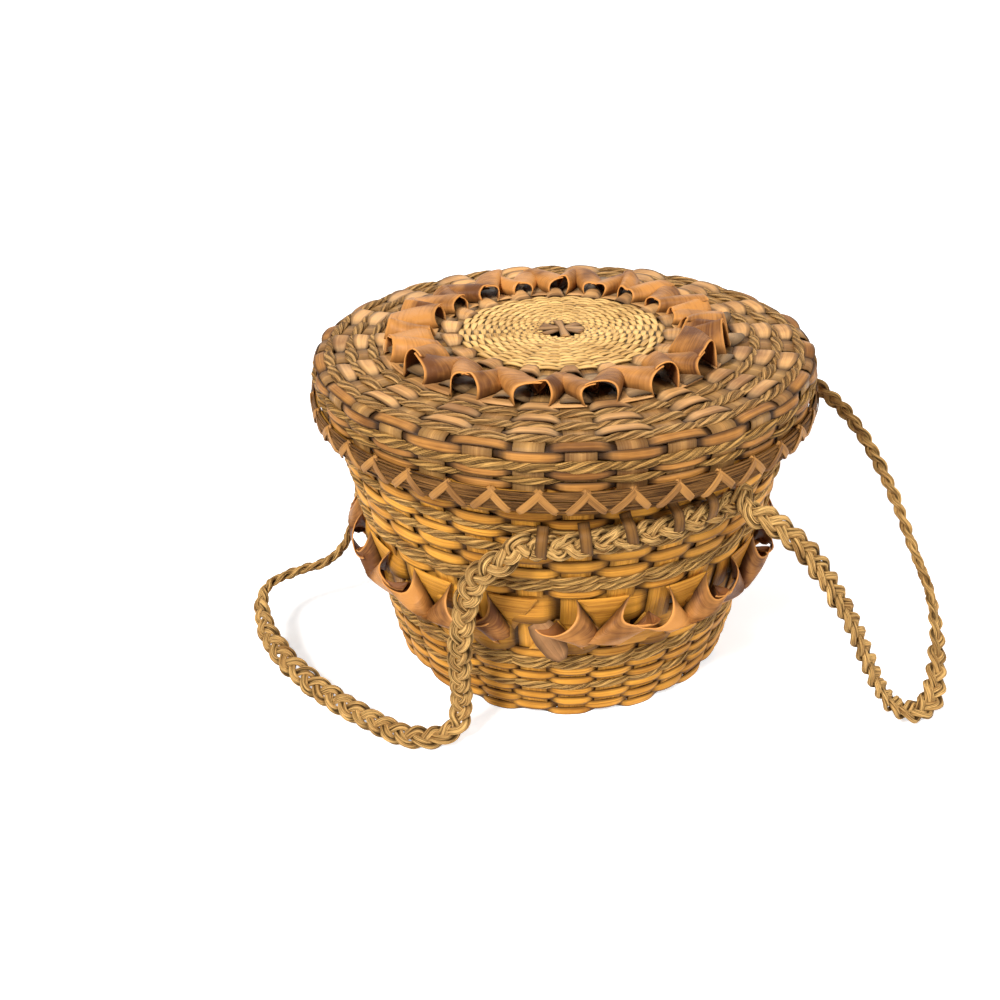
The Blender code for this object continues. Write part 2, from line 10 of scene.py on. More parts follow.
import bpy
import numpy as np
from bpy.props import FloatProperty, FloatVectorProperty, PointerProperty
from mathutils import Euler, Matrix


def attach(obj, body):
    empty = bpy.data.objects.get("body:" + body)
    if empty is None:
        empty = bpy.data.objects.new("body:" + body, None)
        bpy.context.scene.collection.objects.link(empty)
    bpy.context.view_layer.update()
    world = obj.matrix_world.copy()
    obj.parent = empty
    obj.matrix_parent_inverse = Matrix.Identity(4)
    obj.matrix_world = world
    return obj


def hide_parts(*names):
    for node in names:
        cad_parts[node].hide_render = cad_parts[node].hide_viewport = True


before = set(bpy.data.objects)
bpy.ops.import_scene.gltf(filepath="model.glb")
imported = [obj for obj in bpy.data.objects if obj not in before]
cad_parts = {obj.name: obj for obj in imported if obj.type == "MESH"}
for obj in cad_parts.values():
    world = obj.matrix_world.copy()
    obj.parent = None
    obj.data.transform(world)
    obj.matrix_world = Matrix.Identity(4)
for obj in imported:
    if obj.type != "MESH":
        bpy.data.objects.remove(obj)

bl_info = {
    "name": "Splint Basket",
    "version": (1, 0, 0),
    "blender": (4, 5, 0),
    "location": "3D View > Sidebar > Basket",
    "description": "Weaves a lidded basket of ash splint and sweetgrass over its packed solids",
    "category": "Object",
}

MM = 0.001
TURN = 2 * np.pi
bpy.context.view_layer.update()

# Body wall, on the middle of the uprights
UPRIGHTS = 32
FOOT_RADIUS, SHOULDER_RADIUS = 94.8 * MM, 120.0 * MM
FOOT_HEIGHT, SHOULDER_HEIGHT = 4.4 * MM, 146.0 * MM
WALL_SLOPE = (SHOULDER_RADIUS - FOOT_RADIUS) / (SHOULDER_HEIGHT - FOOT_HEIGHT)
UPRIGHT_WIDTH = 13.6 * MM
UPRIGHT_THICKNESS = 0.8 * MM

# How much further on each tube of a piece starts in the grain
GRAIN_SHIFT = 370 * MM
# Section of a splint: (share of its half width, share of its thickness) round it, from the outer face
SPLINT_SECTION = np.array([
    (-1, 0.05), (-0.95, 0.44), (-0.5, 0.56), (0.5, 0.56), (0.95, 0.44), (1, 0.05), (0.96, -0.42), (0, -0.5),
    (-0.96, -0.42), (-0.99, -0.2),
])

# Lid, on the middle of its uprights: (radius, height) from the centre over the rolled edge and down the skirt
LID_UPRIGHTS = 36
LID_PROFILE = MM * np.array([
    (0, 174.1), (46, 174.1), (118, 170.4), (121.5, 170.1), (124.4, 169.6), (126.1, 168.2), (126.5, 165.4),
    (126.0, 153.0), (125.6, 142.8),
])
# The profile's last point on the top, and how far the lid's front stands above its middle
LID_EDGE_KNOT = 3
LID_WARP = 2.6 * MM

# Rings of curls: the first gap in degrees, a tube's half width at the strip's two edges as a share of the
# distance between gaps, and the thickness of the flat wedges
BODY_CURL_TURN, LID_CURL_TURN = -4.3, -12.2
BODY_CURL_SPREAD, LID_CURL_SPREAD = (0.44, 0.32), (0.44, 0.46)
CURL_FLAT_THICKNESS = 0.5 * MM

# Rows of each course of the body: the solids that they stand for, then each row's kind and top edge in mm. A
# row of sweetgrass is twined: one strand passes in front of each upright and the other behind it, and they
# change places.
BODY_ROWS = (
    (("foot_hoop", "body_course_01_splint"), (("splint", 4.4), ("splint", 8.6), ("splint", 12.6),
                                              ("splint", 16.6), ("splint", 20.5))),
    (("body_course_02_sweetgrass",), (("sweetgrass", 24.6), ("splint", 28.2))),
    (("body_course_03_splint",), (("splint", 32.2), ("splint", 36.0))),
    (("body_course_04_sweetgrass",), (("sweetgrass", 40.4), ("sweetgrass", 44.6), ("splint", 49.0))),
    (("body_course_05_wide_splint",), (("wide", 69.0),)),
    (("body_course_06_wide_splint",), (("wide", 86.0),)),
    (("body_course_07_sweetgrass",), (("splint", 90.0), ("sweetgrass", 94.4), ("sweetgrass", 98.5))),
    (("body_course_08_splint",), (("splint", 103.4), ("splint", 108.2), ("splint", 113.0))),
    (("body_course_09_splint",), (("sweetgrass", 117.2), ("splint", 121.2), ("splint", 125.2),
                                  ("sweetgrass", 129.0))),
    (("body_course_shoulder",), (("splint", 133.3), ("splint", 137.5), ("splint", 141.7), ("splint", 145.7))),
    (("body_course_neck",), (("splint", 150.3), ("splint", 155.0))),
)

# Rows of each course of the lid, outwards from a radius and then down: the solid that they stand for, then
# each row's kind, 0 or 1 for the uprights that it passes in front of, and its far edge in mm, by radius on
# the top and by height on the skirt. A row of sweetgrass is one strand here, and a twined row is two.
LID_ROWS_START = 53
LID_TOP_ROWS = (
    ("lid_course_bed_wide_splint", (("puff", 0, 61), ("bed", 1, 74), ("bed", 0, 88))),
    ("lid_course_top_splint", (("flat", 1, 95.2), ("twined", 0, 99.2), ("flat", 1, 106))),
    ("lid_course_top_sweetgrass", (("twined", 0, 110.6), ("flat", 1, 117), ("twined", 0, 121.4))),
)
LID_SKIRT_ROWS = (
    ("lid_course_edge_splint", (("splint", 0, 168.4),)),
    ("lid_course_skirt_sweetgrass", (("splint", 1, 164.9), ("twined", 0, 161.1))),
    ("lid_course_skirt_splint", (("splint", 0, 158.3), ("sweetgrass", 1, 156.0), ("splint", 0, 153.2))),
)
# Splint rows of the lid by kind: how their piece's name ends, how much they widen in front of an upright, how
# many times as far as on the body they stand out there, and their material
LID_SPLINTS = {
    "puff": ("puffs", 0.85, 2.6, "weathered_splint"),
    # The bed rows lie under the ring of curls, and their darker material is painted shade.
    "bed": ("ash", 0.85, 1.7, "bed_splint"),
    "flat": ("ash", 0.85, 1.7, "weathered_splint"),
    "splint": ("ash", 0.26, 1.0, "edge_splint"),
}

# Where the braid is lashed: azimuths in degrees and heights in mm at its two ends
FRONT_LASHED = ((-10.0, 121.0), (35.0, 130.0))
BACK_LASHED = ((130.0, 120.0), (210.0, 121.0))
BRAID_SEAT = 6.5 * MM
# Loops that hold the braid: azimuth in degrees, height in mm, and how far they lean to the side as they rise
LOOPS = {
    "front": ((-7.7, 121, 0.06), (1.5, 123, -0.1), (10.7, 127, -0.22), (20.7, 129, -0.1), (28.6, 131, 0.0)),
    "back": ((138, 120.1, 0.1), (154, 120.3, -0.05), (170, 120.5, 0.05), (186, 120.7, 0.1),
             (202, 120.9, -0.1)),
}
# Along the braid: one round of its strands, one turn of a strand's bundles, and the distance between points
BRAID_PITCH, BUNDLE_PITCH, BRAID_STEP = 28 * MM, 60 * MM, 1.1 * MM
# Free stretches of the braid, in mm, from the front lashing to the back one
LEFT_ROUTE = (
    (-31, -121, 116.5), (-40, -120, 110), (-47, -117.5, 101), (-51, -114.5, 88), (-53.5, -113.5, 72),
    (-55.5, -113, 56), (-56, -111.5, 37), (-56, -110, 20.5), (-59, -111.5, 9.5), (-68, -114.5, 5),
    (-79, -115, 4.6), (-89, -111.5, 4.8), (-104, -101.5, 5.5), (-121, -90, 7.5), (-137, -78, 11),
    (-152, -64, 16), (-164, -47, 21), (-170, -30, 26), (-170, -17, 29), (-163, -9, 31),
    (-150, -3, 33), (-135, 3, 35), (-125, 15, 42), (-120, 35, 56), (-112, 58, 76), (-97, 82, 97),
    (-79, 99, 112),
)
RIGHT_ROUTE = (
    (78, -105, 128), (86, -106.5, 124), (94, -107.5, 118.5), (103, -109.5, 110.5), (113, -111, 98),
    (124, -111.5, 81), (134, -111, 63), (143, -110.5, 44), (152, -110, 26), (161, -108.5, 13.5),
    (171, -107, 6), (181, -103, 4.8), (189, -93, 8), (195, -78, 15), (198, -62, 26), (197, -48, 39),
    (193, -36, 51), (189, -21, 64), (185, -5, 77), (179, 12, 90), (171, 26.5, 102), (162, 39, 111),
    (151, 48.5, 117.5), (139, 59, 118.5), (124, 68, 119),
)


def length_size(name, description, default):
    """A length that a user would change."""
    return FloatProperty(name=name, description=description, default=default, min=0, unit="LENGTH")


def colour(name, description, default):
    """A colour that a user would change."""
    return FloatVectorProperty(
        name=name, description=description, default=default, size=3, min=0, max=1, subtype="COLOR"
    )


class BasketSizes(bpy.types.PropertyGroup):
    """The sizes that a user would change."""
    stand_out: length_size("Weaver stand-out", "How far weavers pass in front of an upright", 1.25 * MM)
    stand_in: length_size("Weaver stand-in", "How far weavers pass behind an upright", 1.15 * MM)
    weaver_thickness: length_size("Weaver thickness", "Thickness of the splint weavers", 0.9 * MM)
    body_curl_rise: length_size("Body curl rise", "How far the curls stand out of the body", 10.5 * MM)
    lid_curl_rise: length_size("Lid curl rise", "How far the curls stand up from the lid", 10.5 * MM)
    curl_thickness: length_size("Curl thickness", "Thickness of the overlay splint", 0.55 * MM)
    braid_sway: length_size("Braid sway", "How far each strand of the braid swings to the sides", 4.1 * MM)
    strand_width: length_size("Strand width", "Diameter of one strand of the braid", 4.1 * MM)
    lashing_width: length_size("Lashing width", "Width of the zigzag splint of the rim", 3.7 * MM)


class BasketColours(bpy.types.PropertyGroup):
    """The colours that a user would change."""
    # Each darker colour is its material's own darker rings, blades or patches and, deepened, its painted
    # shade.
    splint: colour("Splint", "Golden ash splint", (0.72, 0.325, 0.042))
    splint_dark: colour("Splint shade", "Ash splint in its darker growth rings", (0.32, 0.118, 0.012))
    weathered: colour("Weathered splint", "Splint on top of the lid", (0.70, 0.36, 0.12))
    weathered_dark: colour("Weathered shade", "Weathered splint in its darker rings", (0.28, 0.12, 0.035))
    sweetgrass: colour("Sweetgrass", "Dried sweetgrass", (0.84, 0.475, 0.138))
    sweetgrass_dark: colour("Sweetgrass shade", "Sweetgrass between its blades", (0.27, 0.108, 0.022))
    curl: colour("Curl", "Outer face of the overlay splint", (0.51, 0.218, 0.054))
    curl_dark: colour("Curl shade", "Dark patches of the overlay splint", (0.12, 0.042, 0.012))
    # The curls' inner face is darker than the outer: partly its own colour and partly painted shade inside
    # the curls.
    curl_inside_and_shade: colour("Curl inside", "Inner face of the overlay splint", (0.24, 0.088, 0.026))
    braid: colour("Braid", "Sweetgrass of the carrying braid", (0.79, 0.47, 0.158))
    braid_dark: colour("Braid shade", "Braid between its strands", (0.23, 0.095, 0.022))
    loops: colour("Loops", "Splint loops that hold the braid", (0.22, 0.098, 0.023))


# Shapes


def polar(radius, angle, height):
    """Points at that radius and height, at an angle from the front."""
    radius, angle, height = np.broadcast_arrays(radius, angle, height)
    return np.stack((radius * np.sin(angle), -radius * np.cos(angle), height), -1)


def unit(vectors):
    """Each vector divided by its length."""
    return vectors / np.linalg.norm(vectors, axis=-1, keepdims=True)


def square_to(vectors, forward):
    """Directions of the vectors without what lies along forward."""
    return unit(vectors - forward * np.sum(vectors * forward, -1, keepdims=True))


def from_zero(steps):
    """Running total of the steps along the last axis, starting at zero."""
    return np.concatenate((np.zeros_like(steps[..., :1]), np.cumsum(steps, -1)), -1)


def lengths(line, axis=0):
    """Distance of each point along its line from the line's first point."""
    return from_zero(np.linalg.norm(np.diff(line, axis=axis), axis=-1))


def section_angles(steps):
    """Angles of that many even points round a section, from half a step past its back."""
    return TURN * (np.arange(steps) + 0.5) / steps - np.pi


def from_back(steps):
    """Angles of that many even steps round the circle, from the back."""
    return np.pi + TURN * np.arange(steps) / steps


def surface(name, points, closed, **traits):
    """A mesh of tubes. points[k, n, m] are k tubes with n stations along each and m points round a station.

    A closed tube's last station meets its first, and an open tube's ends are capped with quads between
    opposite points. The UV map holds the distance along the tube, which starts further on for each tube so
    that no two have the same grain, and the distance round it, in metres. Each trait is a number for each
    point, kept as an attribute.
    """
    tubes, stations, sides = points.shape[:3]
    index = np.arange(tubes * stations * sides).reshape(tubes, stations, sides)
    here = index if closed else index[:, :-1]
    ahead = np.roll(index, -1, 1) if closed else index[:, 1:]
    quads = np.stack((here, np.roll(here, -1, 2), np.roll(ahead, -1, 2), ahead), -1)
    line = points.mean(2)
    line = np.concatenate((line, line[:, :1]), 1) if closed else line
    along = lengths(line, 1) + GRAIN_SHIFT * np.arange(tubes)[:, None]
    ring = points[:, stations // 2]
    around = from_zero(np.linalg.norm(np.roll(ring, -1, 1) - ring, axis=-1))
    u = np.stack((along[:, :-1], along[:, :-1], along[:, 1:], along[:, 1:]), -1)[:, :, None]
    v = np.stack((around[:, :-1], around[:, 1:], around[:, 1:], around[:, :-1]), -1)[:, None]
    quads, uv = quads.reshape(-1, 4), np.stack(np.broadcast_arrays(u, v), -1).reshape(-1, 4, 2)
    if not closed:
        near = np.arange(sides // 2 - 1)
        pick = np.stack((near, near + 1, sides - 2 - near, sides - 1 - near), -1)
        ends = np.concatenate((index[:, 0][:, pick][..., ::-1], index[:, -1][:, pick]), 1).reshape(-1, 4)
        quads = np.concatenate((quads, ends))
        uv = np.concatenate((uv, np.zeros((len(ends), 4, 2))))
    flat = points.reshape(-1, 3)
    a, b, c, d = (flat[quads[:, corner]] for corner in range(4))
    if np.einsum("ij,ij->", a, np.cross(b, c) + np.cross(c, d)) < 0:
        quads, uv = quads[:, ::-1], uv[:, ::-1]
    mesh = bpy.data.meshes.new(name)
    mesh.vertices.add(len(flat))
    mesh.vertices.foreach_set("co", flat.astype(np.float32).ravel())
    mesh.loops.add(quads.size)
    mesh.loops.foreach_set("vertex_index", quads.astype(np.int32).ravel())
    mesh.polygons.add(len(quads))
    mesh.polygons.foreach_set("loop_start", np.arange(0, quads.size, 4, dtype=np.int32))
    mesh.polygons.foreach_set("use_smooth", np.ones(len(quads), bool))
    mesh.update(calc_edges=True)
    layer = mesh.uv_layers.new(name="Lengths")
    layer.uv.foreach_set("vector", uv.astype(np.float32).ravel())
    for trait, values in traits.items():
        values = np.broadcast_to(values, points.shape[:3])
        attribute = mesh.attributes.new(trait, "FLOAT", "POINT")
        attribute.data.foreach_set("value", values.astype(np.float32).ravel())
    piece = bpy.data.objects.new(name, mesh)
    bpy.context.scene.collection.objects.link(piece)
    return piece


def dress(piece, body, slot, look, *nodes):
    """Gives the piece its material and body and hides the solids that it stands for; slot is not used."""
    piece.data.materials.append(finish(look))
    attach(piece, body)
    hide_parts(*nodes)


def refinish(*nodes):
    """Gives solids that show as they are the look of plain splint."""
    for node in nodes:
        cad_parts[node].data.materials.clear()
        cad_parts[node].data.materials.append(finish("hoop_splint"))


def wander(seed, rows, knots, angle):
    """A smooth random value from -1 to 1 for each row and angle, with that many knots round the circle."""
    values = np.random.default_rng(seed).uniform(-1, 1, (rows, knots))
    place = (angle / TURN * knots) % knots
    low = np.floor(place).astype(int) % knots
    share = place - np.floor(place)
    share = share * share * (3 - 2 * share)
    return values[:, low] * (1 - share) + values[:, (low + 1) % knots] * share


def wall_radius(height):
    """Middle of the body's uprights: a straight flare up to the shoulder, then a plain neck."""
    share = (height - FOOT_HEIGHT) / (SHOULDER_HEIGHT - FOOT_HEIGHT)
    return FOOT_RADIUS + (SHOULDER_RADIUS - FOOT_RADIUS) * np.minimum(share, 1)


def lid_line(station):
    """(radius, height) of the lid's uprights at that distance from the centre along the profile."""
    knots = lengths(LID_PROFILE)
    return np.interp(station, knots, LID_PROFILE[:, 0]), np.interp(station, knots, LID_PROFILE[:, 1])


def top_station(radius):
    """Distance along the lid's profile to a radius on its top."""
    top = slice(LID_EDGE_KNOT + 1)
    return np.interp(radius, LID_PROFILE[top, 0], lengths(LID_PROFILE)[top])


def skirt_station(height):
    """Distance along the lid's profile to a height on its edge or skirt."""
    skirt = slice(LID_EDGE_KNOT, None)
    return np.interp(-height, -LID_PROFILE[skirt, 1], lengths(LID_PROFILE)[skirt])


def warped(points):
    """The lid's rise towards the front, full at its top and none at the lower rim."""
    share = np.clip((points[..., 2] - 153 * MM) / (17 * MM), 0, 1)
    points = points.copy()
    points[..., 2] -= LID_WARP * share * points[..., 1] / (126 * MM)
    return points


def sideways(angle, path):
    """Level directions round the basket at each angle, one for each point of the path."""
    return np.broadcast_to(polar(1, angle + np.pi / 2, 0.0), path.shape)


def row_edges(members):
    """Lines of rows, as middle, outward direction and upward direction, then their half widths and phases.

    A member is a row's two edges, each (radius, height), and its phase.
    """
    lows, highs, phases = (np.array(part) for part in zip(*members))
    run = highs - lows
    up = unit(run)
    outward = np.stack((up[:, 1], -up[:, 0]), -1)
    return ((lows + highs) / 2, outward, up), np.linalg.norm(run, axis=1) / 2, phases


def row_points(lines, angle, lift, rise, warp=False):
    """Points that lie lift outwards and rise upwards from the lines of rows, and above the floor."""
    middle, outward, up = (part[:, None, None] for part in lines)
    line = middle + outward * lift[..., None] + up * rise[..., None]
    points = polar(line[..., 0], angle[None, :, None], np.maximum(line[..., 1], 0.1 * MM))
    return warped(points) if warp else points


def weave(count, phases, angle, stand_out, stand_in, seed):
    """How a row stands off the uprights: a flattened sine, in front of one upright and behind the next."""
    drift = 0.30 * wander(seed + 9, len(phases), count, angle)
    swing = np.cos(count * angle[None] / 2 + np.pi * phases[:, None] + drift)
    off = np.sin(np.pi / 2 * (swing + 0.12 * (1 - swing ** 2)))
    return swing, np.where(off > 0, stand_out * off, stand_in * off)


def splint_rows(name, count, members, sizes, seed, per_pitch, lens, crown, warp=False, lift_by=1.0):
    """Flat woven rows: a crowned section carried round the circle, wider and tipped out where it is in front.

    Past 0.3, lens also narrows the ends.
    """
    angle = from_back(count * per_pitch)
    lines, half, phases = row_edges(members)
    half = half[:, None]
    tone, widen, drift, push, tip = (wander(seed + step, len(half), count, angle) for step in range(5))
    swing, off = weave(count, phases, angle, sizes.stand_out * lift_by, sizes.stand_in, seed)
    front = np.clip((swing + 0.45) / 1.45, 0, 1)
    swell = 0.98 - 0.8 * max(lens - 0.3, 0) + lens * np.sin(np.pi / 2 * front)
    width = half * (swell + 0.12 * widen)
    off = off * (1 + 0.22 * push)
    tilt = (0.10 * tip - 0.26) * front
    across, through = SPLINT_SECTION.T
    through = np.where(through > 0.5, through * crown, through) * sizes.weaver_thickness
    lift = off[:, :, None] + through + tilt[:, :, None] * across * half[:, :, None]
    rise = (0.13 * half * drift)[:, :, None] + across * width[:, :, None]
    swing = swing[:, :, None]
    tuck = np.clip((-0.08 - swing) / 0.3, 0, 1) + 0.5 * np.clip(0.25 - swing, 0, 1)
    shade = tuck + 0.65 * (np.abs(across) > 0.9) + 0.35 * (np.abs(across) > 0.97)
    return surface(name, row_points(lines, angle, lift, rise, warp), True, tone=tone[:, :, None],
                   shade=np.clip(shade, 0, 1), worn=np.clip(0.75 - front, 0, 1)[:, :, None])


def rope_rows(name, count, members, sizes, seed, warp=False):
    """Woven rows of twisted grass: a lobed section that turns as it goes round."""
    strands, lay, per_pitch = 4, 38 * MM, 22
    angle = from_back(count * per_pitch)
    lines, half, phases = row_edges(members)
    rows = len(half)
    swing, off = weave(count, phases, angle, sizes.stand_out * 0.85, sizes.stand_in * 0.8, seed)
    front = np.maximum(swing, 0)
    turns = np.round(TURN * lines[0][:, 0] / lay)
    twist = turns[:, None] * angle[None] + 1.7 * wander(seed + 1, rows, count, angle)
    around = section_angles(20)
    turned = around[None, None] - twist[:, :, None]
    lobe = np.abs(np.cos(strands / 2 * turned))
    bulk = 0.60 + 0.44 * lobe ** 0.7
    width = half[:, None] * (0.92 + 0.42 * front + 0.10 * wander(seed + 2, rows, count * 2, angle))
    depth = 1.35 * MM * (0.85 + 0.35 * front)
    rise = np.sin(around) * bulk * width[:, :, None]
    lift = off[:, :, None] + np.cos(around) * bulk * depth[:, :, None]
    shade = 1.2 * (1 - lobe) ** 1.4 + np.clip(0.1 - swing[:, :, None], 0, 1) * 0.9
    return surface(name, row_points(lines, angle, lift, rise, warp), True, shade=np.clip(shade, 0, 1),
                   tone=wander(seed, rows, count * 2, angle)[:, :, None], strand=turned * 2 * MM)


def tones(seed, count):
    """A random tone from -1 to 1 for each of that many strips."""
    return np.random.default_rng(seed).uniform(-1, 1, (count, 1, 1))


def rows_name(node):
    """What the rows that stand for a course's solid are called."""
    return node.replace("course", "rows").removesuffix("_splint").removesuffix("_sweetgrass")


def bowed_strips(name, path, side, face, width, thickness, **traits):
    """Open strips: the splint section carried along each path[k, n], across side and out along face."""
    across, through = SPLINT_SECTION.T
    width = np.broadcast_to(width, path.shape[:2])[..., None, None]
    points = path[:, :, None] + side[:, :, None] * (across[:, None] * width / 2)
    points = points + face[:, :, None] * (through[:, None] * thickness)
    traits.setdefault("shade", np.clip(np.abs(across) - 0.8, 0, 1) * 3)
    traits.setdefault("tone", 0.0)
    return surface(name, points, False, **traits)


def upright_strips(name, count, line, push, outward, width, seed, warp=False):
    """Upright splints along the line, (radius, height), that are pushed outwards and inwards by turns."""
    number = np.arange(count)[:, None]
    angle = TURN * number / count
    sign = np.where(number % 2 == 0, 1.0, -1.0)
    line = line[None] + (sign * push[None])[..., None] * outward
    path = polar(line[..., 0], angle, line[..., 1])
    path = warped(path) if warp else path
    side = sideways(angle, path)
    face = np.cross(side, unit(np.gradient(path, axis=1)))
    return bowed_strips(name, path, side, face, width, UPRIGHT_THICKNESS, tone=tones(seed, count))


# Finishes


def fill(tree, node, inputs):
    """Sets a node's inputs, given by name or number, to values, or links them to sockets."""
    for key, value in inputs.items():
        if isinstance(value, bpy.types.NodeSocket):
            tree.links.new(value, node.inputs[key])
        else:
            node.inputs[key].default_value = value


def add_node(tree, kind, inputs=(), **settings):
    """A node with its settings and inputs."""
    made = tree.nodes.new(kind)
    for key, value in settings.items():
        setattr(made, key, value)
    fill(tree, made, dict(inputs))
    return made


def mixed(tree, factor, first, second):
    """A colour mix of two colours or sockets."""
    first, second = (
        value if isinstance(value, bpy.types.NodeSocket) else (*value, 1) for value in (first, second)
    )
    made = add_node(tree, "ShaderNodeMix", {0: factor, 6: first, 7: second}, data_type="RGBA")
    return made.outputs[2]


def maths(tree, operation, first, second, clamp=False):
    """One step of arithmetic on two numbers or sockets."""
    made = add_node(tree, "ShaderNodeMath", {0: first, 1: second}, operation=operation, use_clamp=clamp)
    return made.outputs[0]


def weighted(tree, *parts, clamp=False):
    """The sum of values, each times its weight. A clamped sum is held between 0 and 1."""
    total, *rest = (maths(tree, "MULTIPLY", value, weight) for value, weight in parts)
    for part in rest[:-1]:
        total = maths(tree, "ADD", total, part)
    return maths(tree, "ADD", total, rest[-1], clamp)


def spread(tree, value, low, high, to_low=0.0, to_high=1.0):
    """The value carried from one range to another, and held at its ends."""
    made = add_node(tree, "ShaderNodeMapRange", {
        "Value": value, "From Min": low, "From Max": high, "To Min": to_low, "To Max": to_high,
    })
    return made.outputs[0]


def noise(tree, vector, scale, detail, roughness):
    """A soft random value at each place that the vector gives."""
    made = add_node(tree, "ShaderNodeTexNoise", {
        "Vector": vector, "Scale": scale, "Detail": detail, "Roughness": roughness,
    })
    return made.outputs["Fac"]


def stretched(tree, vector, scale, location=(0, 0, 0)):
    """The vector with each axis times its scale, then moved to the location."""
    made = add_node(tree, "ShaderNodeMapping", {"Vector": vector, "Scale": scale, "Location": location})
    return made.outputs[0]


def trait(tree, name):
    """The number that each point of the mesh keeps under that name."""
    return add_node(tree, "ShaderNodeAttribute", attribute_name=name).outputs["Fac"]


def times(share, tint):
    """A colour with each of its channels times that share."""
    return tuple(share * channel for channel in tint)


def new_look(name):
    """A new material, its node tree, its shader, and the place on the object as a socket."""
    look = bpy.data.materials.new(name)
    look.use_nodes = True
    tree = look.node_tree
    return look, tree, tree.nodes["Principled BSDF"], add_node(tree, "ShaderNodeTexCoord").outputs["Object"]


def bumped(tree, strength, distance, height):
    """A normal that leans as if the surface rose by the distance times the height."""
    made = add_node(tree, "ShaderNodeBump", {"Strength": strength, "Distance": distance, "Height": height})
    return made.outputs[0]


def splint_finish(name, light, dark, wear=0.35, lines=1.0, inside=None, grey=0.0, gloss=0.5, worn=0.0):
    """Split ash: growth lines along the strip, blotches, painted shade where it dives behind, paler worn
    ends.
    """
    look, tree, shader, place = new_look(name)
    uv = add_node(tree, "ShaderNodeUVMap", uv_map="Lengths").outputs[0]
    fibres = noise(tree, stretched(tree, uv, (45, 1700, 1)), 1.0, 4.0, 0.6)
    rings = noise(tree, stretched(tree, uv, (9, 620, 1), (3, 7, 0)), 1.0, 2.0, 0.5)
    blotch = noise(tree, place, 42.0, 3.0, 0.55)
    fine = noise(tree, place, 900.0, 2.0, 0.5)
    depth = weighted(
        tree, (spread(tree, fibres, 0.42, 0.64), 0.36 * lines),
        (spread(tree, rings, 0.46, 0.62), 0.36 * lines), (spread(tree, blotch, 0.40, 0.66), wear),
        (trait(tree, "tone"), 0.34), clamp=True,
    )
    skin = mixed(tree, depth, light, dark)
    if inside is not None:
        # The curls' darker inner face is partly painted shade inside the curls.
        skin = mixed(tree, trait(tree, "inner"), skin, inside)
        # Painted highlight: the edges of the curls' strips are lightened towards a brighter copy of the light
        # colour.
        rim = spread(tree, trait(tree, "rim"), 0.5, 0.9, 0, 0.85)
        skin = mixed(tree, rim, skin, tuple(min(1, channel) for channel in times(1.35, light)))
    if grey:
        dust = spread(tree, noise(tree, place, 26.0, 4.0, 0.6), 0.35, 0.7, 0, grey)
        skin = mixed(tree, dust, skin, (0.46, 0.33, 0.20))
    if worn:
        rubbed = maths(tree, "MULTIPLY", trait(tree, "worn"), worn, clamp=True)
        skin = mixed(tree, rubbed, skin, (0.50, 0.33, 0.17))
    shade = maths(tree, "MULTIPLY", maths(tree, "POWER", trait(tree, "shade"), 0.6), 0.97)
    fill(tree, shader, {
        "Base Color": mixed(tree, shade, skin, times(0.12, dark)),
        "Roughness": spread(tree, blotch, 0.3, 0.7, gloss - 0.10, gloss + 0.14),
        "Specular IOR Level": 0.14,
        "Normal": bumped(tree, 0.8, 0.5 * MM, weighted(tree, (fibres, 0.6), (fine, 0.25), (rings, 0.6))),
    })
    return look


def grass_finish(name, light, dark):
    """Dried grass: blades that follow the twist of the strand, with painted shade in the gaps between them.
    """
    look, tree, shader, place = new_look(name)
    uv = add_node(tree, "ShaderNodeUVMap", uv_map="Lengths").outputs[0]
    along = add_node(tree, "ShaderNodeSeparateXYZ", {"Vector": uv}).outputs[0]
    lie = add_node(tree, "ShaderNodeCombineXYZ", {"X": along, "Y": trait(tree, "strand")}).outputs[0]
    blades = noise(tree, stretched(tree, lie, (70, 1900, 1)), 1.0, 4.0, 0.65)
    gaps = noise(tree, stretched(tree, lie, (45, 2300, 1), (5, 2, 0)), 1.0, 2.0, 0.5)
    blotch = noise(tree, place, 60.0, 3.0, 0.55)
    depth = weighted(
        tree, (spread(tree, blades, 0.44, 0.62), 0.7), (spread(tree, blotch, 0.4, 0.7), 0.3),
        (trait(tree, "tone"), 0.2), clamp=True,
    )
    # Painted shade in the gaps between blades: a deep copy of the dark colour.
    blade_gap_shade = spread(tree, gaps, 0.53, 0.61, 0, 0.9)
    skin = mixed(tree, blade_gap_shade, mixed(tree, depth, light, dark), times(0.28, dark))
    shade = maths(tree, "MULTIPLY", maths(tree, "POWER", trait(tree, "shade"), 0.65), 0.85)
    fill(tree, shader, {
        "Base Color": mixed(tree, shade, skin, times(0.1, dark)),
        "Roughness": 0.62,
        "Specular IOR Level": 0.1,
        "Normal": bumped(tree, 1.0, 1.2 * MM, blades),
    })
    return look


def hoop_finish(name, light, dark):
    """Splint on a plain solid: growth lines run round the basket."""
    look, tree, shader, place = new_look(name)
    lines = noise(tree, stretched(tree, place, (25, 25, 900)), 1.0, 4.0, 0.6)
    blotch = noise(tree, place, 42.0, 3.0, 0.55)
    depth = weighted(
        tree, (spread(tree, lines, 0.35, 0.68), 0.5), (spread(tree, blotch, 0.38, 0.7), 0.4), clamp=True
    )
    fill(tree, shader, {
        "Base Color": mixed(tree, depth, light, dark),
        "Roughness": 0.55,
        "Normal": bumped(tree, 0.4, 0.3 * MM, lines),
    })
    return look


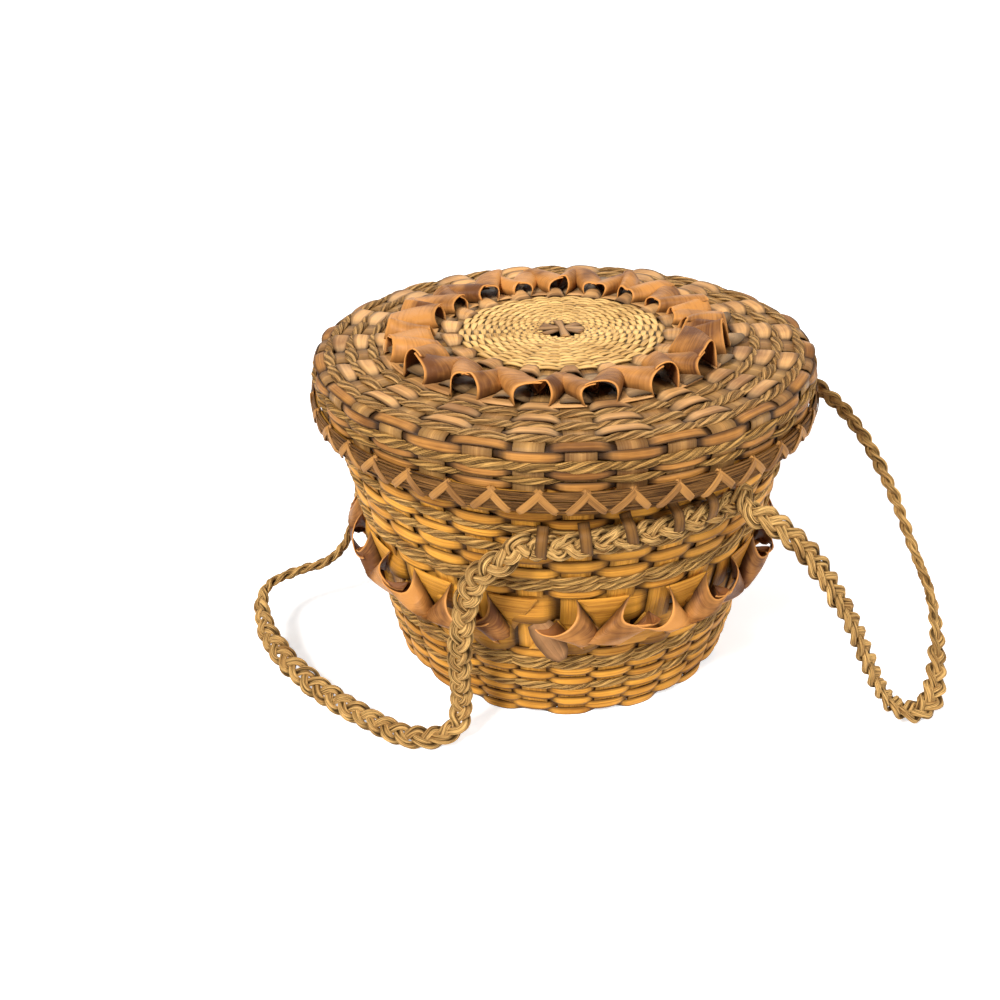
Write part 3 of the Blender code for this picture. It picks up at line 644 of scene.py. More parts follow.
def finish(name):
    """The material of that name, made when the first piece asks for it."""
    if name in bpy.data.materials:
        return bpy.data.materials[name]
    tints = bpy.context.scene.basket_colours
    aged = tuple(share * channel for share, channel in zip((0.86, 0.87, 1.08), tints.sweetgrass))
    make, light, dark, options = {
        "ash_splint": (splint_finish, tints.splint, tints.splint_dark, {}),
        "weathered_splint": (splint_finish, tints.weathered, tints.weathered_dark,
                             {"wear": 0.6, "lines": 0.9, "grey": 0.22, "worn": 0.75}),
        "curled_splint": (splint_finish, tints.curl, tints.curl_dark,
                          {"wear": 1.0, "lines": 0.45, "inside": tints.curl_inside_and_shade, "gloss": 0.42}),
        "torn_splint": (splint_finish, (0.40, 0.19, 0.07), (0.13, 0.055, 0.02),
                        {"wear": 0.8, "lines": 0.6, "grey": 0.2}),
        # Bed rows under the curls: darker than the weathered splint as painted shade, with more dust.
        "bed_splint": (splint_finish, (0.42, 0.25, 0.11), (0.2, 0.1, 0.036), {"grey": 0.3}),
        "edge_splint": (splint_finish, (0.45, 0.195, 0.042), (0.16, 0.06, 0.013),
                        {"wear": 0.55, "worn": 0.12}),
        "centre_splint": (splint_finish, (0.80, 0.49, 0.165), (0.36, 0.18, 0.045), {"grey": 0.1}),
        "cross_splint": (splint_finish, (0.42, 0.22, 0.08), (0.17, 0.075, 0.025), {}),
        "lid_upright_splint": (splint_finish, (0.46, 0.24, 0.07), (0.24, 0.10, 0.026), {"grey": 0.12}),
        "lashing_splint": (splint_finish, (0.41, 0.19, 0.048), (0.15, 0.062, 0.016), {}),
        "loop_splint": (splint_finish, tints.loops, times(0.5, tints.loops), {}),
        "hoop_splint": (hoop_finish, tints.splint, tints.splint_dark, {}),
        "dried_sweetgrass": (grass_finish, tints.sweetgrass, tints.sweetgrass_dark, {}),
        "weathered_sweetgrass": (grass_finish, aged, tints.sweetgrass_dark, {}),
        "skirt_sweetgrass": (grass_finish, (0.72, 0.39, 0.11), (0.22, 0.095, 0.022), {}),
        "bundle_sweetgrass": (grass_finish, (0.25, 0.112, 0.03), (0.065, 0.026, 0.007), {}),
        "braided_sweetgrass": (grass_finish, tints.braid, tints.braid_dark, {}),
    }[name]
    return make(name, light, dark, **options)


# The braid


def evenly(line):
    """The line resampled at even steps."""
    far = lengths(line)
    even = np.linspace(0, far[-1], int(far[-1] / BRAID_STEP) + 1)
    return np.stack([np.interp(even, far, line[:, axis]) for axis in range(3)], -1)


def smooth_route(points):
    """A Catmull-Rom curve through the points."""
    points = np.asarray(points, float)
    ends = np.concatenate((2 * points[:1] - points[1:2], points, 2 * points[-1:] - points[-2:-1]))
    a, b, c, d = (ends[start:start + len(points) - 1, None] for start in range(4))
    t = (np.arange(16) / 16)[None, :, None]
    curve = 0.5 * (2 * b + (c - a) * t + (2 * a - 5 * b + 4 * c - d) * t ** 2
                   + (3 * b - a - 3 * c + d) * t ** 3)
    return evenly(np.concatenate((curve.reshape(-1, 3), points[-1:])))


def lashed_line(stretch):
    """Middle of a lashed stretch, where it lies against the weave."""
    (start, low), (end, high) = stretch
    share = np.linspace(0, 1, 400)
    height = (low + (high - low) * share) * MM
    angle = np.radians(start + (end - start) * share)
    return evenly(polar(wall_radius(height) + BRAID_SEAT, angle, height))


def braided(name, line, sizes, seed):
    """Three strands along the line: each swings to the sides as a sine and through the braid at twice that.

    A strand is five bundles of grass, which turn slowly about its middle.
    """
    far = lengths(line)
    forward = unit(np.gradient(line, axis=0))
    floor = 0.25 + 2.2 * np.exp(-np.maximum(line[:, 2:3] - 4 * MM, 0) / (14 * MM))
    lean = unit(np.concatenate((line[:, :2], np.zeros((len(line), 1))), 1)) + floor * np.array((0, 0, 1))
    face = square_to(lean, forward)
    side = np.cross(face, forward)
    rounds = np.round(far[-1] / BRAID_PITCH)
    phase = TURN * rounds * far / far[-1]
    place = phase / rounds
    strands, bundles = 3, 5
    swing = phase[None] + TURN * np.arange(strands)[:, None] / strands
    sway = sizes.braid_sway * (1 + 0.14 * wander(seed, strands, 24, place))
    middle = (line[None] + side[None] * (sway * np.sin(swing))[..., None]
              + face[None] * (1.25 * MM * np.sin(2 * swing))[..., None])
    ahead = unit(np.gradient(middle, axis=1))
    out = square_to(face[None], ahead)
    over = np.cross(out, ahead)
    count = strands * bundles
    bundle = np.arange(count)
    own = bundle // bundles
    turn = TURN * (bundle % bundles)[:, None] / bundles + TURN * far[None] / BUNDLE_PITCH
    turn = turn + 0.8 * wander(seed + 1, count, 40, place)
    reach = sizes.strand_width * 0.27 * (1 + 0.2 * wander(seed + 4, count, 40, place))
    core = (middle[own] + over[own] * (1.3 * np.sin(turn) * reach)[..., None]
            + out[own] * (0.62 * np.cos(turn) * reach)[..., None])
    around = section_angles(8)
    bulk = sizes.strand_width * 0.25 * (1 + 0.22 * wander(seed + 2, count, 60, place))[..., None]
    points = (core[:, :, None] + over[own][:, :, None] * (np.sin(around) * bulk)[..., None]
              + out[own][:, :, None] * (0.86 * np.cos(around) * bulk)[..., None])
    points[..., 2] = np.maximum(points[..., 2], 0.15 * MM)
    covered = -1.3 * np.cos(around) * np.sin(2 * swing)[own][..., None]
    return surface(
        name, points, False, tone=wander(seed + 3, count, 30, place)[..., None],
        shade=np.clip(0.35 - np.cos(around - turn[..., None]) + covered, 0, 1),
        strand=around * 1.2 * MM + bundle[:, None, None] * 7 * MM,
    )


# The curls


def curl_gaps(count, turn, random):
    """Angle of each gap between two curls, the curls' height over it as a share, and their lean there."""
    number = np.arange(count + 1)
    angle = turn + TURN * number / count + TURN / count * 0.12 * random.uniform(-1, 1, count + 1)
    size = 1 + 0.20 * random.uniform(-1, 1, count + 1)
    lean = TURN / count * 0.32 * random.uniform(-1, 1, count + 1)
    angle[-1], size[-1], lean[-1] = angle[0] + TURN, size[0], lean[0]
    return angle, size, lean


def curls(name, count, turn, place, spread_of, rise, thickness, random, laps, torn=None):
    """A strip bent into half tubes, which run to and fro across it from each gap to the next.

    Over an even gap the first edge of the strip arches, and over an odd gap its last edge. A tube's ridge
    goes from its even gap to its odd gap as the share across the strip grows. To either side of the ridge,
    the strip falls as a sine raised to 0.9 and bulges as a sine at twice the pace, until it lies flat or
    meets the next tube at the gap. One of the two tubes at a gap goes on past its ridge by the angle in laps
    and rests on the other. place(angle, share, out) gives the points.
    """
    gaps, size, lean = curl_gaps(count, turn, random)
    above = random.uniform(0, 1, count + 1) < 0.5
    above[-1] = above[0]
    low, high = np.arange(count), np.arange(1, count + 1)
    even = np.where(low % 2 == 0, low, high)
    odd = np.where(low % 2 == 0, high, low)
    keep = np.arange(count) != (-1 if torn is None else torn)
    even, odd = even[keep, None, None], odd[keep, None, None]
    share = np.linspace(0, 1, 11)[None, None]
    t = np.linspace(0, 1, 25)[None, :, None]
    half = spread_of[0] + (spread_of[1] - spread_of[0]) * share
    first = np.arccos(np.minimum(1, share / half))
    last = np.pi - np.arccos(np.minimum(1, (1 - share) / half))
    over_even, over_odd = (above[gap] == (gap == low[keep, None, None]) for gap in (even, odd))
    lap_even = np.where(over_even, laps[0], min(-0.05, laps[0]))
    lap_odd = np.where(over_odd, laps[1], min(-0.05, laps[1]))
    first = first - lap_even * np.clip(1 - share / half, 0, 1)
    last = last + lap_odd * np.clip(1 - (1 - share) / half, 0, 1)
    turned = first + (last - first) * t
    bulge = 0.36 + 0.14 * random.uniform(-1, 1, (len(even), 1, 1))
    across = share - half * np.cos(turned) - bulge * half * np.sin(2 * turned)
    foot = share > half
    across = across + np.where(foot, share - half - across[:, :1], 0) * (1 - t) ** 2
    across = across + np.where(1 - share > half, share + half - across[:, -1:], 0) * t ** 2
    tall_even = size[even] * np.where(over_even, 1.06, 0.96)
    tall_odd = size[odd] * np.where(over_odd, 1.06, 0.96)
    tall = tall_even + (tall_odd - tall_even) * np.clip(across, 0, 1)
    swell = 1 + 0.12 * random.uniform(-1, 1, (len(even), 1, 1)) * 4 * np.clip(across * (1 - across), 0, 1)
    out = rise * tall * swell * np.sin(turned) ** 0.9
    tilt = lean[even] + (lean[odd] - lean[even]) * np.clip(across, 0, 1)
    angle = gaps[even] + (gaps[odd] - gaps[even]) * across + tilt * (out / rise) ** 2
    middle = place(angle, share + 0 * angle, out)
    face = unit(np.cross(np.gradient(middle, axis=1), np.gradient(middle, axis=2)))
    ahead = place(angle, share + 0 * angle, out + MM) - middle
    face = face * np.sign(np.sum(face[:, 12, 5] * ahead[:, 12, 5], -1))[:, None, None, None]
    outer, inner = middle + face * thickness / 2, middle - face * thickness / 2
    points = np.concatenate((outer, inner[:, :, ::-1]), 2)
    inside = np.repeat((0.0, 1.0), share.size)
    # rim is 1 at the strip's two edges, where the finish paints a highlight.
    rim = np.abs(2 * np.concatenate((share, share[..., ::-1]), -1) - 1) ** 10
    depth = np.concatenate((out, out[..., ::-1]), -1) / rise
    shade = (0.75 - 0.4 * inside) * np.clip(1 - 2.4 * depth, 0, 1)
    return surface(name, points, False, inner=inside, rim=rim, shade=shade,
                   tone=random.uniform(-1, 1, (len(even), 1, 1)))


def curl_flats(name, count, turn, place, spread_of):
    """The strip's flat wedges: each is a triangle from one edge to the point where two curls meet.

    Its depth falls evenly to both sides of its middle, and the growth lines run round the basket.
    """
    across = np.linspace(-1, 1, 17)[None, :, None]
    deep = np.array((0, 0.33, 0.67, 1, 1, 0.67, 0.33, 0))[None, None]
    deep = np.minimum(deep, np.maximum(1 - np.abs(across), 0.01))
    lift = np.repeat((CURL_FLAT_THICKNESS, 0.0), 4)[None, None]
    even = np.arange(count)[:, None, None] % 2 == 0
    slope = spread_of[1] - spread_of[0]
    edge = np.where(even, 1.0, 0.0)
    tip = np.where(even, spread_of[0] / (1 - slope), (1 - spread_of[0]) / (1 + slope))
    room = np.where(even, 1 - spread_of[1], 1 - spread_of[0])
    share = edge + (tip - edge) * deep
    angle = turn + TURN / count * (np.arange(count)[:, None, None] + room * across + 0 * share)
    tone = np.random.default_rng(count).uniform(-0.6, 1, (count, 1, 1))
    return surface(name, place(angle, share, lift + 0 * angle), False, shade=0.3 * deep, tone=tone)


# Operators


class BASKET_OT_stage(bpy.types.Operator):
    """Sets the camera, the pale floor, the lamps and the world."""
    bl_idname = "basket.stage"
    bl_label = "Stage"

    def execute(self, context):
        scene = context.scene
        scene.view_settings.view_transform = "Standard"
        lens = bpy.data.cameras.new("camera")
        lens.sensor_width = 36
        lens.lens = 37.52
        camera = bpy.data.objects.new("camera", lens)
        camera.location = (-34.06 * MM, -506.14 * MM, 374.5 * MM)
        tilt = Euler((np.radians(90 - 30.66), 0, 0)).to_matrix()
        roll = Euler((0, 0, np.radians(-1.555))).to_matrix()
        camera.rotation_euler = (tilt @ roll).to_euler()
        scene.collection.objects.link(camera)
        scene.camera = camera
        self.add_floor(scene)
        lamps = (
            ("key_lamp", (-0.74, -0.98, 1.3), 0.5, 40.0),
            ("fill_lamp", (1.2, -0.7, 0.9), 1.0, 16.5),
            ("back_lamp", (0.0, 1.2, 1.3), 1.0, 8.0),
        )
        for name, place, size, power in lamps:
            data = bpy.data.lights.new(name, "AREA")
            data.shape = "DISK"
            data.size = size
            data.energy = power
            lamp = bpy.data.objects.new(name, data)
            lamp.location = place
            aim = -lamp.location
            aim.z += 0.1
            lamp.rotation_euler = aim.to_track_quat("-Z", "Y").to_euler()
            scene.collection.objects.link(lamp)
        self.light_world(scene)
        return {"FINISHED"}

    def seen(self, tree):
        """1 for rays that come from the camera or through clear or off shiny surfaces, and 0 for others."""
        rays = add_node(tree, "ShaderNodeLightPath").outputs
        seen = maths(tree, "ADD", rays["Is Camera Ray"], rays["Is Glossy Ray"])
        return maths(tree, "ADD", seen, rays["Is Transmission Ray"], clamp=True)

    def add_floor(self, scene):
        """A wide pale plane. The camera and clear or shiny surfaces see it brighter than it is lit."""
        mesh = bpy.data.meshes.new("floor")
        mesh.from_pydata([(-8, -8, 0), (8, -8, 0), (8, 8, 0), (-8, 8, 0)], [], [(0, 1, 2, 3)])
        floor = bpy.data.objects.new("floor", mesh)
        scene.collection.objects.link(floor)
        look, tree, shader, place = new_look("pale_floor")
        far = add_node(tree, "ShaderNodeVectorMath", {"Vector": place}, operation="LENGTH").outputs["Value"]
        glow = spread(tree, far, 0.35, 1.2, 0.56, 0.95)
        fill(tree, shader, {
            "Base Color": (0.8, 0.8, 0.8, 1),
            "Roughness": 0.9,
            "Specular IOR Level": 0.1,
            "Emission Color": (1, 1, 1, 1),
            "Emission Strength": maths(tree, "MULTIPLY", self.seen(tree), glow),
        })
        mesh.materials.append(look)

    def light_world(self, scene):
        """A white world that lights the basket dimly and looks white."""
        world = bpy.data.worlds.new("studio")
        scene.world = world
        world.use_nodes = True
        tree = world.node_tree
        fill(tree, tree.nodes["Background"], {
            "Strength": spread(tree, self.seen(tree), 0, 1, 0.17, 1.0), "Color": (1, 1, 1, 1),
        })


class BASKET_OT_braid(bpy.types.Operator):
    """Braids the carrying braid: two lashed stretches, the free handles and the splint loops."""
    bl_idname = "basket.braid"
    bl_label = "Carrying braid"

    def execute(self, context):
        sizes = context.scene.basket_sizes
        front, back = lashed_line(FRONT_LASHED), lashed_line(BACK_LASHED)
        for name, line, seed in (("front", front, 11), ("back", back, 21)):
            piece = braided(f"braid_{name}", line, sizes, seed)
            dress(piece, "basket", "braid", "braided_sweetgrass", f"braid_lashed_{name}")
        handles = (
            ("left", back, LEFT_ROUTE[::-1], front[::-1], 31),
            ("right", front, RIGHT_ROUTE, back[::-1], 41),
        )
        for side, before, route, after, seed in handles:
            leave, arrive = unit(before[-1] - before[-2]), unit(after[-1] - after[-2])
            line = smooth_route([
                before[-1] + 0.6 * MM * leave, before[-1] + 8 * MM * leave, *(MM * np.array(route)),
                after[-1] + 8 * MM * arrive, after[-1] + 0.6 * MM * arrive,
            ])
            piece = braided(f"{side}_handle", line, sizes, seed)
            dress(piece, f"{side}_handle", "braid", "braided_sweetgrass", f"{side}_handle_braid")
        self.add_loops()
        return {"FINISHED"}

    def add_loops(self):
        """Loops: each path is a rounded arch over the braid, tucked against the weave above and below."""
        out, rise = MM * np.array([
            (1.9, 9.6), (2.4, 7.8), (4.6, 7.0), (7.6, 5.9), (9.2, 3.4), (9.5, 0.0), (9.2, -3.4), (7.6, -5.9),
            (4.6, -7.0), (2.4, -7.8), (1.9, -9.6),
        ]).T
        for name, places in LOOPS.items():
            for number, (azimuth, height, slant) in enumerate(places, 1):
                angle = np.radians(azimuth)
                middle = wall_radius(height * MM)
                turned = angle + slant * rise / middle
                path = polar(middle + out + WALL_SLOPE * rise, turned, height * MM + rise)
                forward = unit(np.gradient(path, axis=0))
                side = square_to(sideways(angle, path), forward)
                face = np.cross(forward, side)
                face = face * np.sign(np.sum(face * polar(1, angle, 0.0)))
                piece = bowed_strips(
                    f"loop_{name}_{number}", path[None], side[None], face[None], 5.4 * MM, 0.7 * MM
                )
                dress(piece, "basket", "curl_splint", "loop_splint", f"braid_loop_{name}_{number}")


class BASKET_OT_body(bpy.types.Operator):
    """Weaves the body: the base, the uprights and every row of the wall."""
    bl_idname = "basket.body"
    bl_label = "Body"

    def execute(self, context):
        sizes = context.scene.basket_sizes
        # Each row's lower edge is the top of the row below, and rows pass the uprights by turns
        low, row = 0.4 * MM, 0
        tops = []
        for nodes, rows in BODY_ROWS:
            groups = {}
            for kind, top in rows:
                top = top * MM
                edges = [(wall_radius(height), height) for height in (low + 0.05 * MM, top)]
                for side in (0, 1) if kind == "sweetgrass" else (row % 2,):
                    groups.setdefault(kind, []).append((*edges, side))
                tops.append(((low + top) / 2, row % 2))
                low, row = top, row + 1
            name = rows_name(nodes[-1])
            for kind, members in groups.items():
                if kind == "sweetgrass":
                    piece = rope_rows(f"{name}_grass", UPRIGHTS, members, sizes, row)
                    dress(piece, "basket", "sweetgrass", "dried_sweetgrass", *nodes)
                else:
                    lens, crown = (0.02, 0.85) if kind == "wide" else (0.30, 1.0)
                    piece = splint_rows(f"{name}_ash", UPRIGHTS, members, sizes, row, 10, lens, crown)
                    slot = "wide_splint" if kind == "wide" else "splint"
                    dress(piece, "basket", slot, "ash_splint", *nodes)
        self.add_uprights(tops)
        self.add_base(sizes)
        refinish("rim_hoop_outer", "rim_hoop_inner")
        return {"FINISHED"}

    def add_uprights(self, tops):
        """Uprights: from the centre of the base up to the mouth, pushed out where a row passes behind."""
        flat = np.linspace(12, 91, 12) * MM
        heights = np.linspace(4.4, 168.0, 132) * MM
        radius = np.concatenate((flat, wall_radius(heights)))
        height = np.concatenate((np.full(len(flat), 2.7 * MM), heights))
        at, odd = np.array(tops + [(157 * MM, 0.5)]).T
        push = np.interp(heights, at, 2 * odd - 1) * 0.30 * MM
        push = np.concatenate((np.zeros(len(flat)), push))
        width = np.minimum(UPRIGHT_WIDTH, 0.92 * TURN * radius / UPRIGHTS)
        width = width[None] * (1 + 0.03 * np.random.default_rng(5).uniform(-1, 1, (UPRIGHTS, 1)))
        line = np.stack((radius, height), -1)
        piece = upright_strips("body_upright_splints", UPRIGHTS, line, push, np.array((1.0, 0.0)), width, 6)
        dress(piece, "basket", "splint", "ash_splint", "body_uprights")

    def add_base(self, sizes):
        """Base: flat rows that pass under one upright and over the next."""
        edges = np.linspace(91.5, 12, 12) * MM
        members = [
            ((inner + 0.3 * MM, 2.7 * MM), (outer - 0.3 * MM, 2.7 * MM), number % 2)
            for number, (outer, inner) in enumerate(zip(edges[:-1], edges[1:]))
        ]
        piece = splint_rows("base_rows", UPRIGHTS, members, sizes, 70, 8, 0.1, 0.9)
        dress(piece, "basket", "splint", "ash_splint", "base_weave", "base_lining")


class BASKET_OT_body_curls(bpy.types.Operator):
    """Bends the band of curls round the body. One curl near the front is torn and hangs flat."""
    bl_idname = "basket.body_curls"
    bl_label = "Body curls"

    def execute(self, context):
        sizes = context.scene.basket_sizes

        def place(angle, share, out):
            """The band runs from 85 to 50 mm up the wall, and its edges sag together as they stand out."""
            sag = out / sizes.body_curl_rise * (0.40 * (1 - share) - 0.42 * share)
            height = (85 - 35 * (share + sag)) * MM
            return polar(wall_radius(height) + 2.1 * MM + out, angle, height - WALL_SLOPE * out)

        ring = UPRIGHTS, np.radians(BODY_CURL_TURN), place, BODY_CURL_SPREAD
        piece = curls("body_curls", *ring, sizes.body_curl_rise, sizes.curl_thickness,
                      np.random.default_rng(81), (0.6, -0.35), torn=UPRIGHTS - 1)
        dress(piece, "basket", "curl_splint", "curled_splint", "body_curl_band")
        piece = curl_flats("body_curl_flats", *ring)
        dress(piece, "basket", "curl_splint", "ash_splint", "body_curl_band")
        self.add_torn_curl()
        return {"FINISHED"}

    def add_torn_curl(self):
        """Torn curl: a loose tongue that hangs down and stands off the wall at its end."""
        share = np.linspace(0, 1, 12)
        angle = np.radians(-9.6 + 6.6 * share)
        height = (69.5 - 20 * share) * MM
        path = polar(wall_radius(height) + (2.4 + 6.5 * share ** 1.6) * MM, angle, height)[None]
        forward = unit(np.gradient(path, axis=1))
        face = unit(polar(1.0, angle, 0.35))[None]
        side = unit(np.cross(face, forward))
        width = np.interp(share, (0, 0.2, 0.45, 0.7, 0.85, 1), (10, 13.5, 14.5, 13, 11, 5))[None] * MM
        piece = bowed_strips("torn_curl", path, side, unit(np.cross(forward, side)), width, 0.6 * MM)
        dress(piece, "basket", "curl_splint", "torn_splint", "body_curl_band")


class BASKET_OT_lid(bpy.types.Operator):
    """Weaves the lid: its uprights, the fine centre, the rows of the top and the skirt."""
    bl_idname = "basket.lid"
    bl_label = "Lid"

    def execute(self, context):
        sizes = context.scene.basket_sizes
        tops = self.add_centre()
        end = top_station(LID_ROWS_START * MM)
        row = 0
        for station, courses in ((top_station, LID_TOP_ROWS), (skirt_station, LID_SKIRT_ROWS)):
            for node, rows in courses:
                groups = {}
                for kind, phase, edge in rows:
                    start, end = end, station(edge * MM)
                    for side in (0, 1) if kind == "twined" else (phase,):
                        groups.setdefault(kind, []).append((lid_line(end), lid_line(start), side))
                    tops.append(((start + end) / 2, phase))
                    row += 1
                self.add_rows(node, groups, sizes, 90 + row)
        self.add_uprights(tops)
        return {"FINISHED"}

    def add_rows(self, node, groups, sizes, seed):
        """Rows: one piece for each kind of row in the course that the solid stands for."""
        name = rows_name(node)
        for kind, members in groups.items():
            if kind in LID_SPLINTS:
                ending, lens, lift_by, look = LID_SPLINTS[kind]
                piece = splint_rows(
                    f"{name}_{ending}", LID_UPRIGHTS, members, sizes, seed, 10, lens, 1.2, True, lift_by
                )
                dress(piece, "lid", "splint", look, node)
            else:
                ending = "grass" if kind == "sweetgrass" else "twined_grass"
                look = "skirt_sweetgrass" if "skirt" in name else "weathered_sweetgrass"
                piece = rope_rows(f"{name}_{ending}", LID_UPRIGHTS, members, sizes, seed, True)
                dress(piece, "lid", "sweetgrass", look, node)

    def add_centre(self):
        """Centre: about twenty fine rows, which pass over every second upright, and short crossed splints."""
        edges = np.linspace(10.5, 52.5, 23) * MM
        lines, half, phases = row_edges([
            (lid_line(outer + 0.1 * MM), lid_line(inner - 0.1 * MM), number % 2)
            for number, (inner, outer) in enumerate(zip(edges[:-1], edges[1:]))
        ])
        angle = from_back(LID_UPRIGHTS * 10)
        tone, waver, deep = (wander(seed, len(half), LID_UPRIGHTS, angle) for seed in (61, 62, 63))
        reach = np.clip(lines[0][:, 0] / (52 * MM), 0.3, 1)[:, None] * 0.7 * MM
        swing = np.cos(LID_UPRIGHTS * angle[None] / 2 + np.pi * phases[:, None] + 0.7 * waver)
        across, through = SPLINT_SECTION.T
        lift = (1.1 * MM + reach * swing)[..., None] + through * 0.9 * MM
        rise = across * half[:, None, None] * (0.88 + 0.5 * np.maximum(swing, 0))[..., None]
        deep = np.clip(0.55 + 0.6 * deep, 0, 1)[..., None]
        shade = np.clip(-0.25 - 1.9 * swing[..., None], 0, 1) * deep + 0.4 * (np.abs(across) > 0.97)
        piece = surface("lid_centre_rows", row_points(lines, angle, lift, rise, True), True,
                        tone=tone[..., None], shade=np.clip(shade, 0, 1))
        dress(piece, "lid", "splint", "centre_splint", "lid_centre_weave")
        self.add_cross()
        return [(edge, number % 2) for number, edge in enumerate((edges[1:] + edges[:-1]) / 2)]

    def add_cross(self):
        """Cross: four short dark splints that lie over each other at the middle, wider at their ends."""
        angle = np.array((0.12, 1.05, 1.5, 2.2))[:, None]
        reach = np.linspace(-11.5, 11.5, 12)[None] * MM
        lift = 0.3 * MM * np.array((3, 1, 2, 0))[:, None] * (1 - np.abs(reach) / (14 * MM))
        path = warped(polar(reach, angle, 176.0 * MM + lift))
        face = np.broadcast_to(np.array((0.0, 0, 1)), path.shape)
        width = (3.4 * MM + 0.16 * np.abs(reach)) + 0 * angle
        piece = bowed_strips("lid_centre_splints", path, sideways(angle, path), face, width, 0.6 * MM,
                             tone=tones(8, len(angle)))
        dress(piece, "lid", "curl_splint", "cross_splint", "lid_centre_cross")

    def add_uprights(self, tops):
        """Uprights: from the centre over the rolled edge down to the rim, out where a row passes under."""
        station = np.linspace(9 * MM, skirt_station(142.9 * MM), 120)
        radius, height = lid_line(station)
        at, odd = np.array(tops).T
        push = np.interp(station, at, 2 * odd - 1) * np.clip((station - 46 * MM) / (8 * MM), 0, 1) * 0.3 * MM
        line = np.stack((radius, height), -1)
        forward = unit(np.gradient(line, axis=0))
        outward = np.stack((-forward[:, 1], forward[:, 0]), -1)
        width = np.minimum(UPRIGHT_WIDTH, 0.9 * TURN * radius / LID_UPRIGHTS)[None]
        piece = upright_strips("lid_upright_splints", LID_UPRIGHTS, line, push, outward, width, 7, True)
        dress(piece, "lid", "splint", "lid_upright_splint", "lid_uprights")


class BASKET_OT_lid_curls(bpy.types.Operator):
    """Bends the ring of curls on the lid."""
    bl_idname = "basket.lid_curls"
    bl_label = "Lid curls"

    def execute(self, context):
        sizes = context.scene.basket_sizes

        def place(angle, share, out):
            """The ring is 27 mm wide and sits a little to the front left. Its edges pull in as they rise."""
            front = np.cos(angle)
            out = out * (0.98 + 0.12 * front + 0.42 * np.exp(-((angle - np.radians(68)) / 0.27) ** 2))
            radius = (88 - 27 * share + 4.5 * front - 3.5 * np.sin(angle)) * MM + out * (0.55 * share - 0.3)
            radius, height = lid_line(top_station(radius))
            return warped(polar(radius, angle, height + 1.6 * MM + out * (1 - (0.28 + 0.2 * front) * share)))

        ring = LID_UPRIGHTS, np.radians(LID_CURL_TURN), place, LID_CURL_SPREAD
        piece = curls("lid_curls", *ring, sizes.lid_curl_rise, sizes.curl_thickness,
                      np.random.default_rng(51), (0.5, 0.4))
        dress(piece, "lid", "curl_splint", "curled_splint", "lid_curl_band")
        piece = curl_flats("lid_curl_flats", *ring)
        dress(piece, "lid", "curl_splint", "weathered_splint", "lid_curl_band")
        return {"FINISHED"}


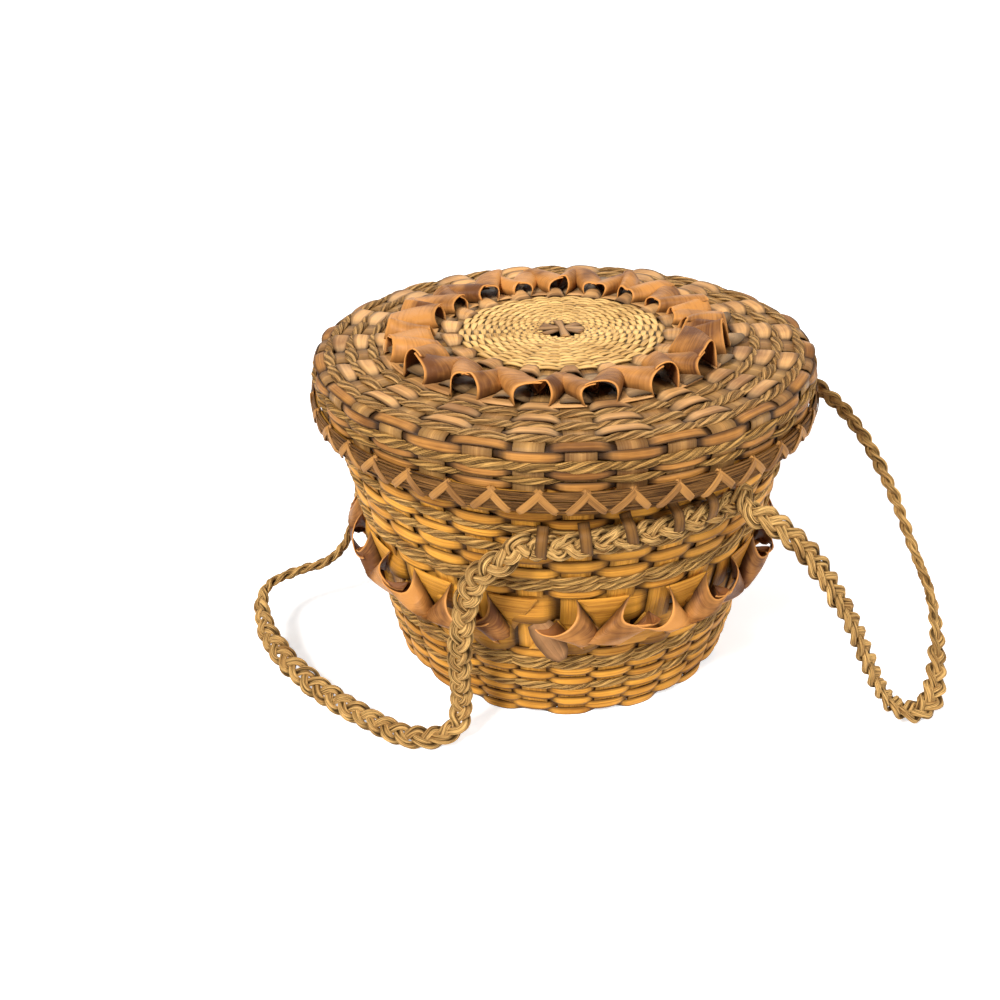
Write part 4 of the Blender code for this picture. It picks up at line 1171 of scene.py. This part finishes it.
class BASKET_OT_lid_rim(bpy.types.Operator):
    """Binds the lid's lower rim: two hoops, the sweetgrass bundle and the zigzag lashing."""
    bl_idname = "basket.lid_rim"
    bl_label = "Lid rim"

    def execute(self, context):
        # The outer hoop is a flat band whose radius and height wander a little round the rim
        angle = from_back(288)
        across, through = SPLINT_SECTION.T
        wave = wander(33, 1, 30, angle)[0]
        radius = 127.7 * MM + 0.25 * MM * wave[:, None] + through * 1.3 * MM
        height = 147.9 * MM + across * 5.1 * MM + 0.3 * MM * wander(34, 1, 24, angle)[0][:, None]
        points = polar(radius, angle[:, None], height)[None]
        hoop = surface("lid_rim_hoop", points, True, tone=wander(35, 1, 20, angle)[..., None],
                       shade=np.clip(np.abs(across) - 0.85, 0, 1) * 3)
        dress(hoop, "lid", "splint", "ash_splint", "lid_hoop_outer")
        self.add_bundle()
        self.add_zigzag(context.scene.basket_sizes.lashing_width)
        refinish("lid_hoop_inner")
        return {"FINISHED"}

    def add_bundle(self):
        """Bundle: round stalks side by side on a bowed face, each wandering a little as it goes round."""
        stalks = 14
        angle = from_back(360)
        share = (np.arange(stalks) + 0.5) / stalks
        drift = wander(36, stalks, 22, angle)
        rise = (143.7 + 9.9 * share)[:, None] * MM + 0.42 * MM * drift
        bow = 1.15 * MM * np.sin(np.pi * share)[:, None]
        out = 129.1 * MM + bow + 0.22 * MM * wander(37, stalks, 30, angle)
        around = TURN * np.arange(6) / 6
        thick = 0.56 * MM * (1 + 0.15 * wander(38, stalks, 26, angle))
        radius = out[..., None] + np.cos(around) * thick[..., None]
        height = rise[..., None] + np.sin(around) * thick[..., None]
        points = polar(radius, angle[None, :, None], height)
        bundle = surface("lid_rim_bundle", points, True, tone=wander(39, stalks, 14, angle)[..., None],
                         shade=0.7 * np.clip(-np.cos(around) + 0.3, 0, 1), strand=around * 0.5 * MM)
        dress(bundle, "lid", "sweetgrass", "bundle_sweetgrass", "lid_sweetgrass_bundle")

    def add_zigzag(self, width):
        """Zigzag: legs that lean one way lie over those that lean the other, and each bows out as a sine."""
        count = 40
        share = np.linspace(0, 1, 9)
        legs = []
        for lean, over in ((1.0, 0.3), (-1.0, 0.0)):
            start = TURN * (np.arange(count) + 0.5 - 0.44 * lean) / count - np.radians(3.5)
            jitter = 0.06 * np.random.default_rng(43).uniform(-1, 1, (count, 1)) * TURN / count
            angle = start[:, None] + lean * TURN / count * 0.52 * share[None] + jitter * (1 - share[None])
            height = (143.0 + 11.0 * share) * MM
            out = (128.7 + over) * MM + 2.15 * MM * np.sin(np.pi * share) ** 0.35
            legs.append(polar(out[None], angle, height[None]))
        path = np.concatenate(legs)
        forward = unit(np.gradient(path, axis=1))
        outward = unit(path * np.array((1, 1, 0)))
        side = np.cross(forward, outward)
        shade = 0.4 * (np.abs(SPLINT_SECTION[:, 0]) > 0.97)
        piece = bowed_strips("lid_rim_zigzag", path, side, outward, width, 0.45 * MM, shade=shade,
                             tone=tones(40, len(path)))
        dress(piece, "lid", "curl_splint", "lashing_splint", "lid_zigzag_lashing")


class BASKET_PT_parts(bpy.types.Panel):
    """Lists the parts of the basket with their sizes and colours."""
    bl_label = "Splint basket"
    bl_space_type = "VIEW_3D"
    bl_region_type = "UI"
    bl_category = "Basket"

    def draw(self, context):
        """A button for each operator, then every size and colour."""
        for operator in OPERATORS:
            self.layout.operator(operator.bl_idname)
        for group in (context.scene.basket_sizes, context.scene.basket_colours):
            for key in group.bl_rna.properties.keys():
                if key not in ("rna_type", "name"):
                    self.layout.prop(group, key)


OPERATORS = (
    BASKET_OT_stage, BASKET_OT_braid, BASKET_OT_body, BASKET_OT_body_curls, BASKET_OT_lid,
    BASKET_OT_lid_curls, BASKET_OT_lid_rim,
)
CLASSES = (BasketSizes, BasketColours, *OPERATORS, BASKET_PT_parts)


def register():
    """Registers the classes and keeps the sizes and colours on the scene."""
    for item in CLASSES:
        bpy.utils.register_class(item)
    bpy.types.Scene.basket_sizes = PointerProperty(type=BasketSizes)
    bpy.types.Scene.basket_colours = PointerProperty(type=BasketColours)


def unregister():
    """Undoes what register does."""
    del bpy.types.Scene.basket_sizes
    del bpy.types.Scene.basket_colours
    for item in reversed(CLASSES):
        bpy.utils.unregister_class(item)


def main():
    """Makes the stage and every piece in order."""
    register()
    bpy.ops.basket.stage()
    bpy.ops.basket.braid()
    bpy.ops.basket.body()
    bpy.ops.basket.body_curls()
    bpy.ops.basket.lid()
    bpy.ops.basket.lid_curls()
    bpy.ops.basket.lid_rim()


if __name__ == "__main__":
    main()
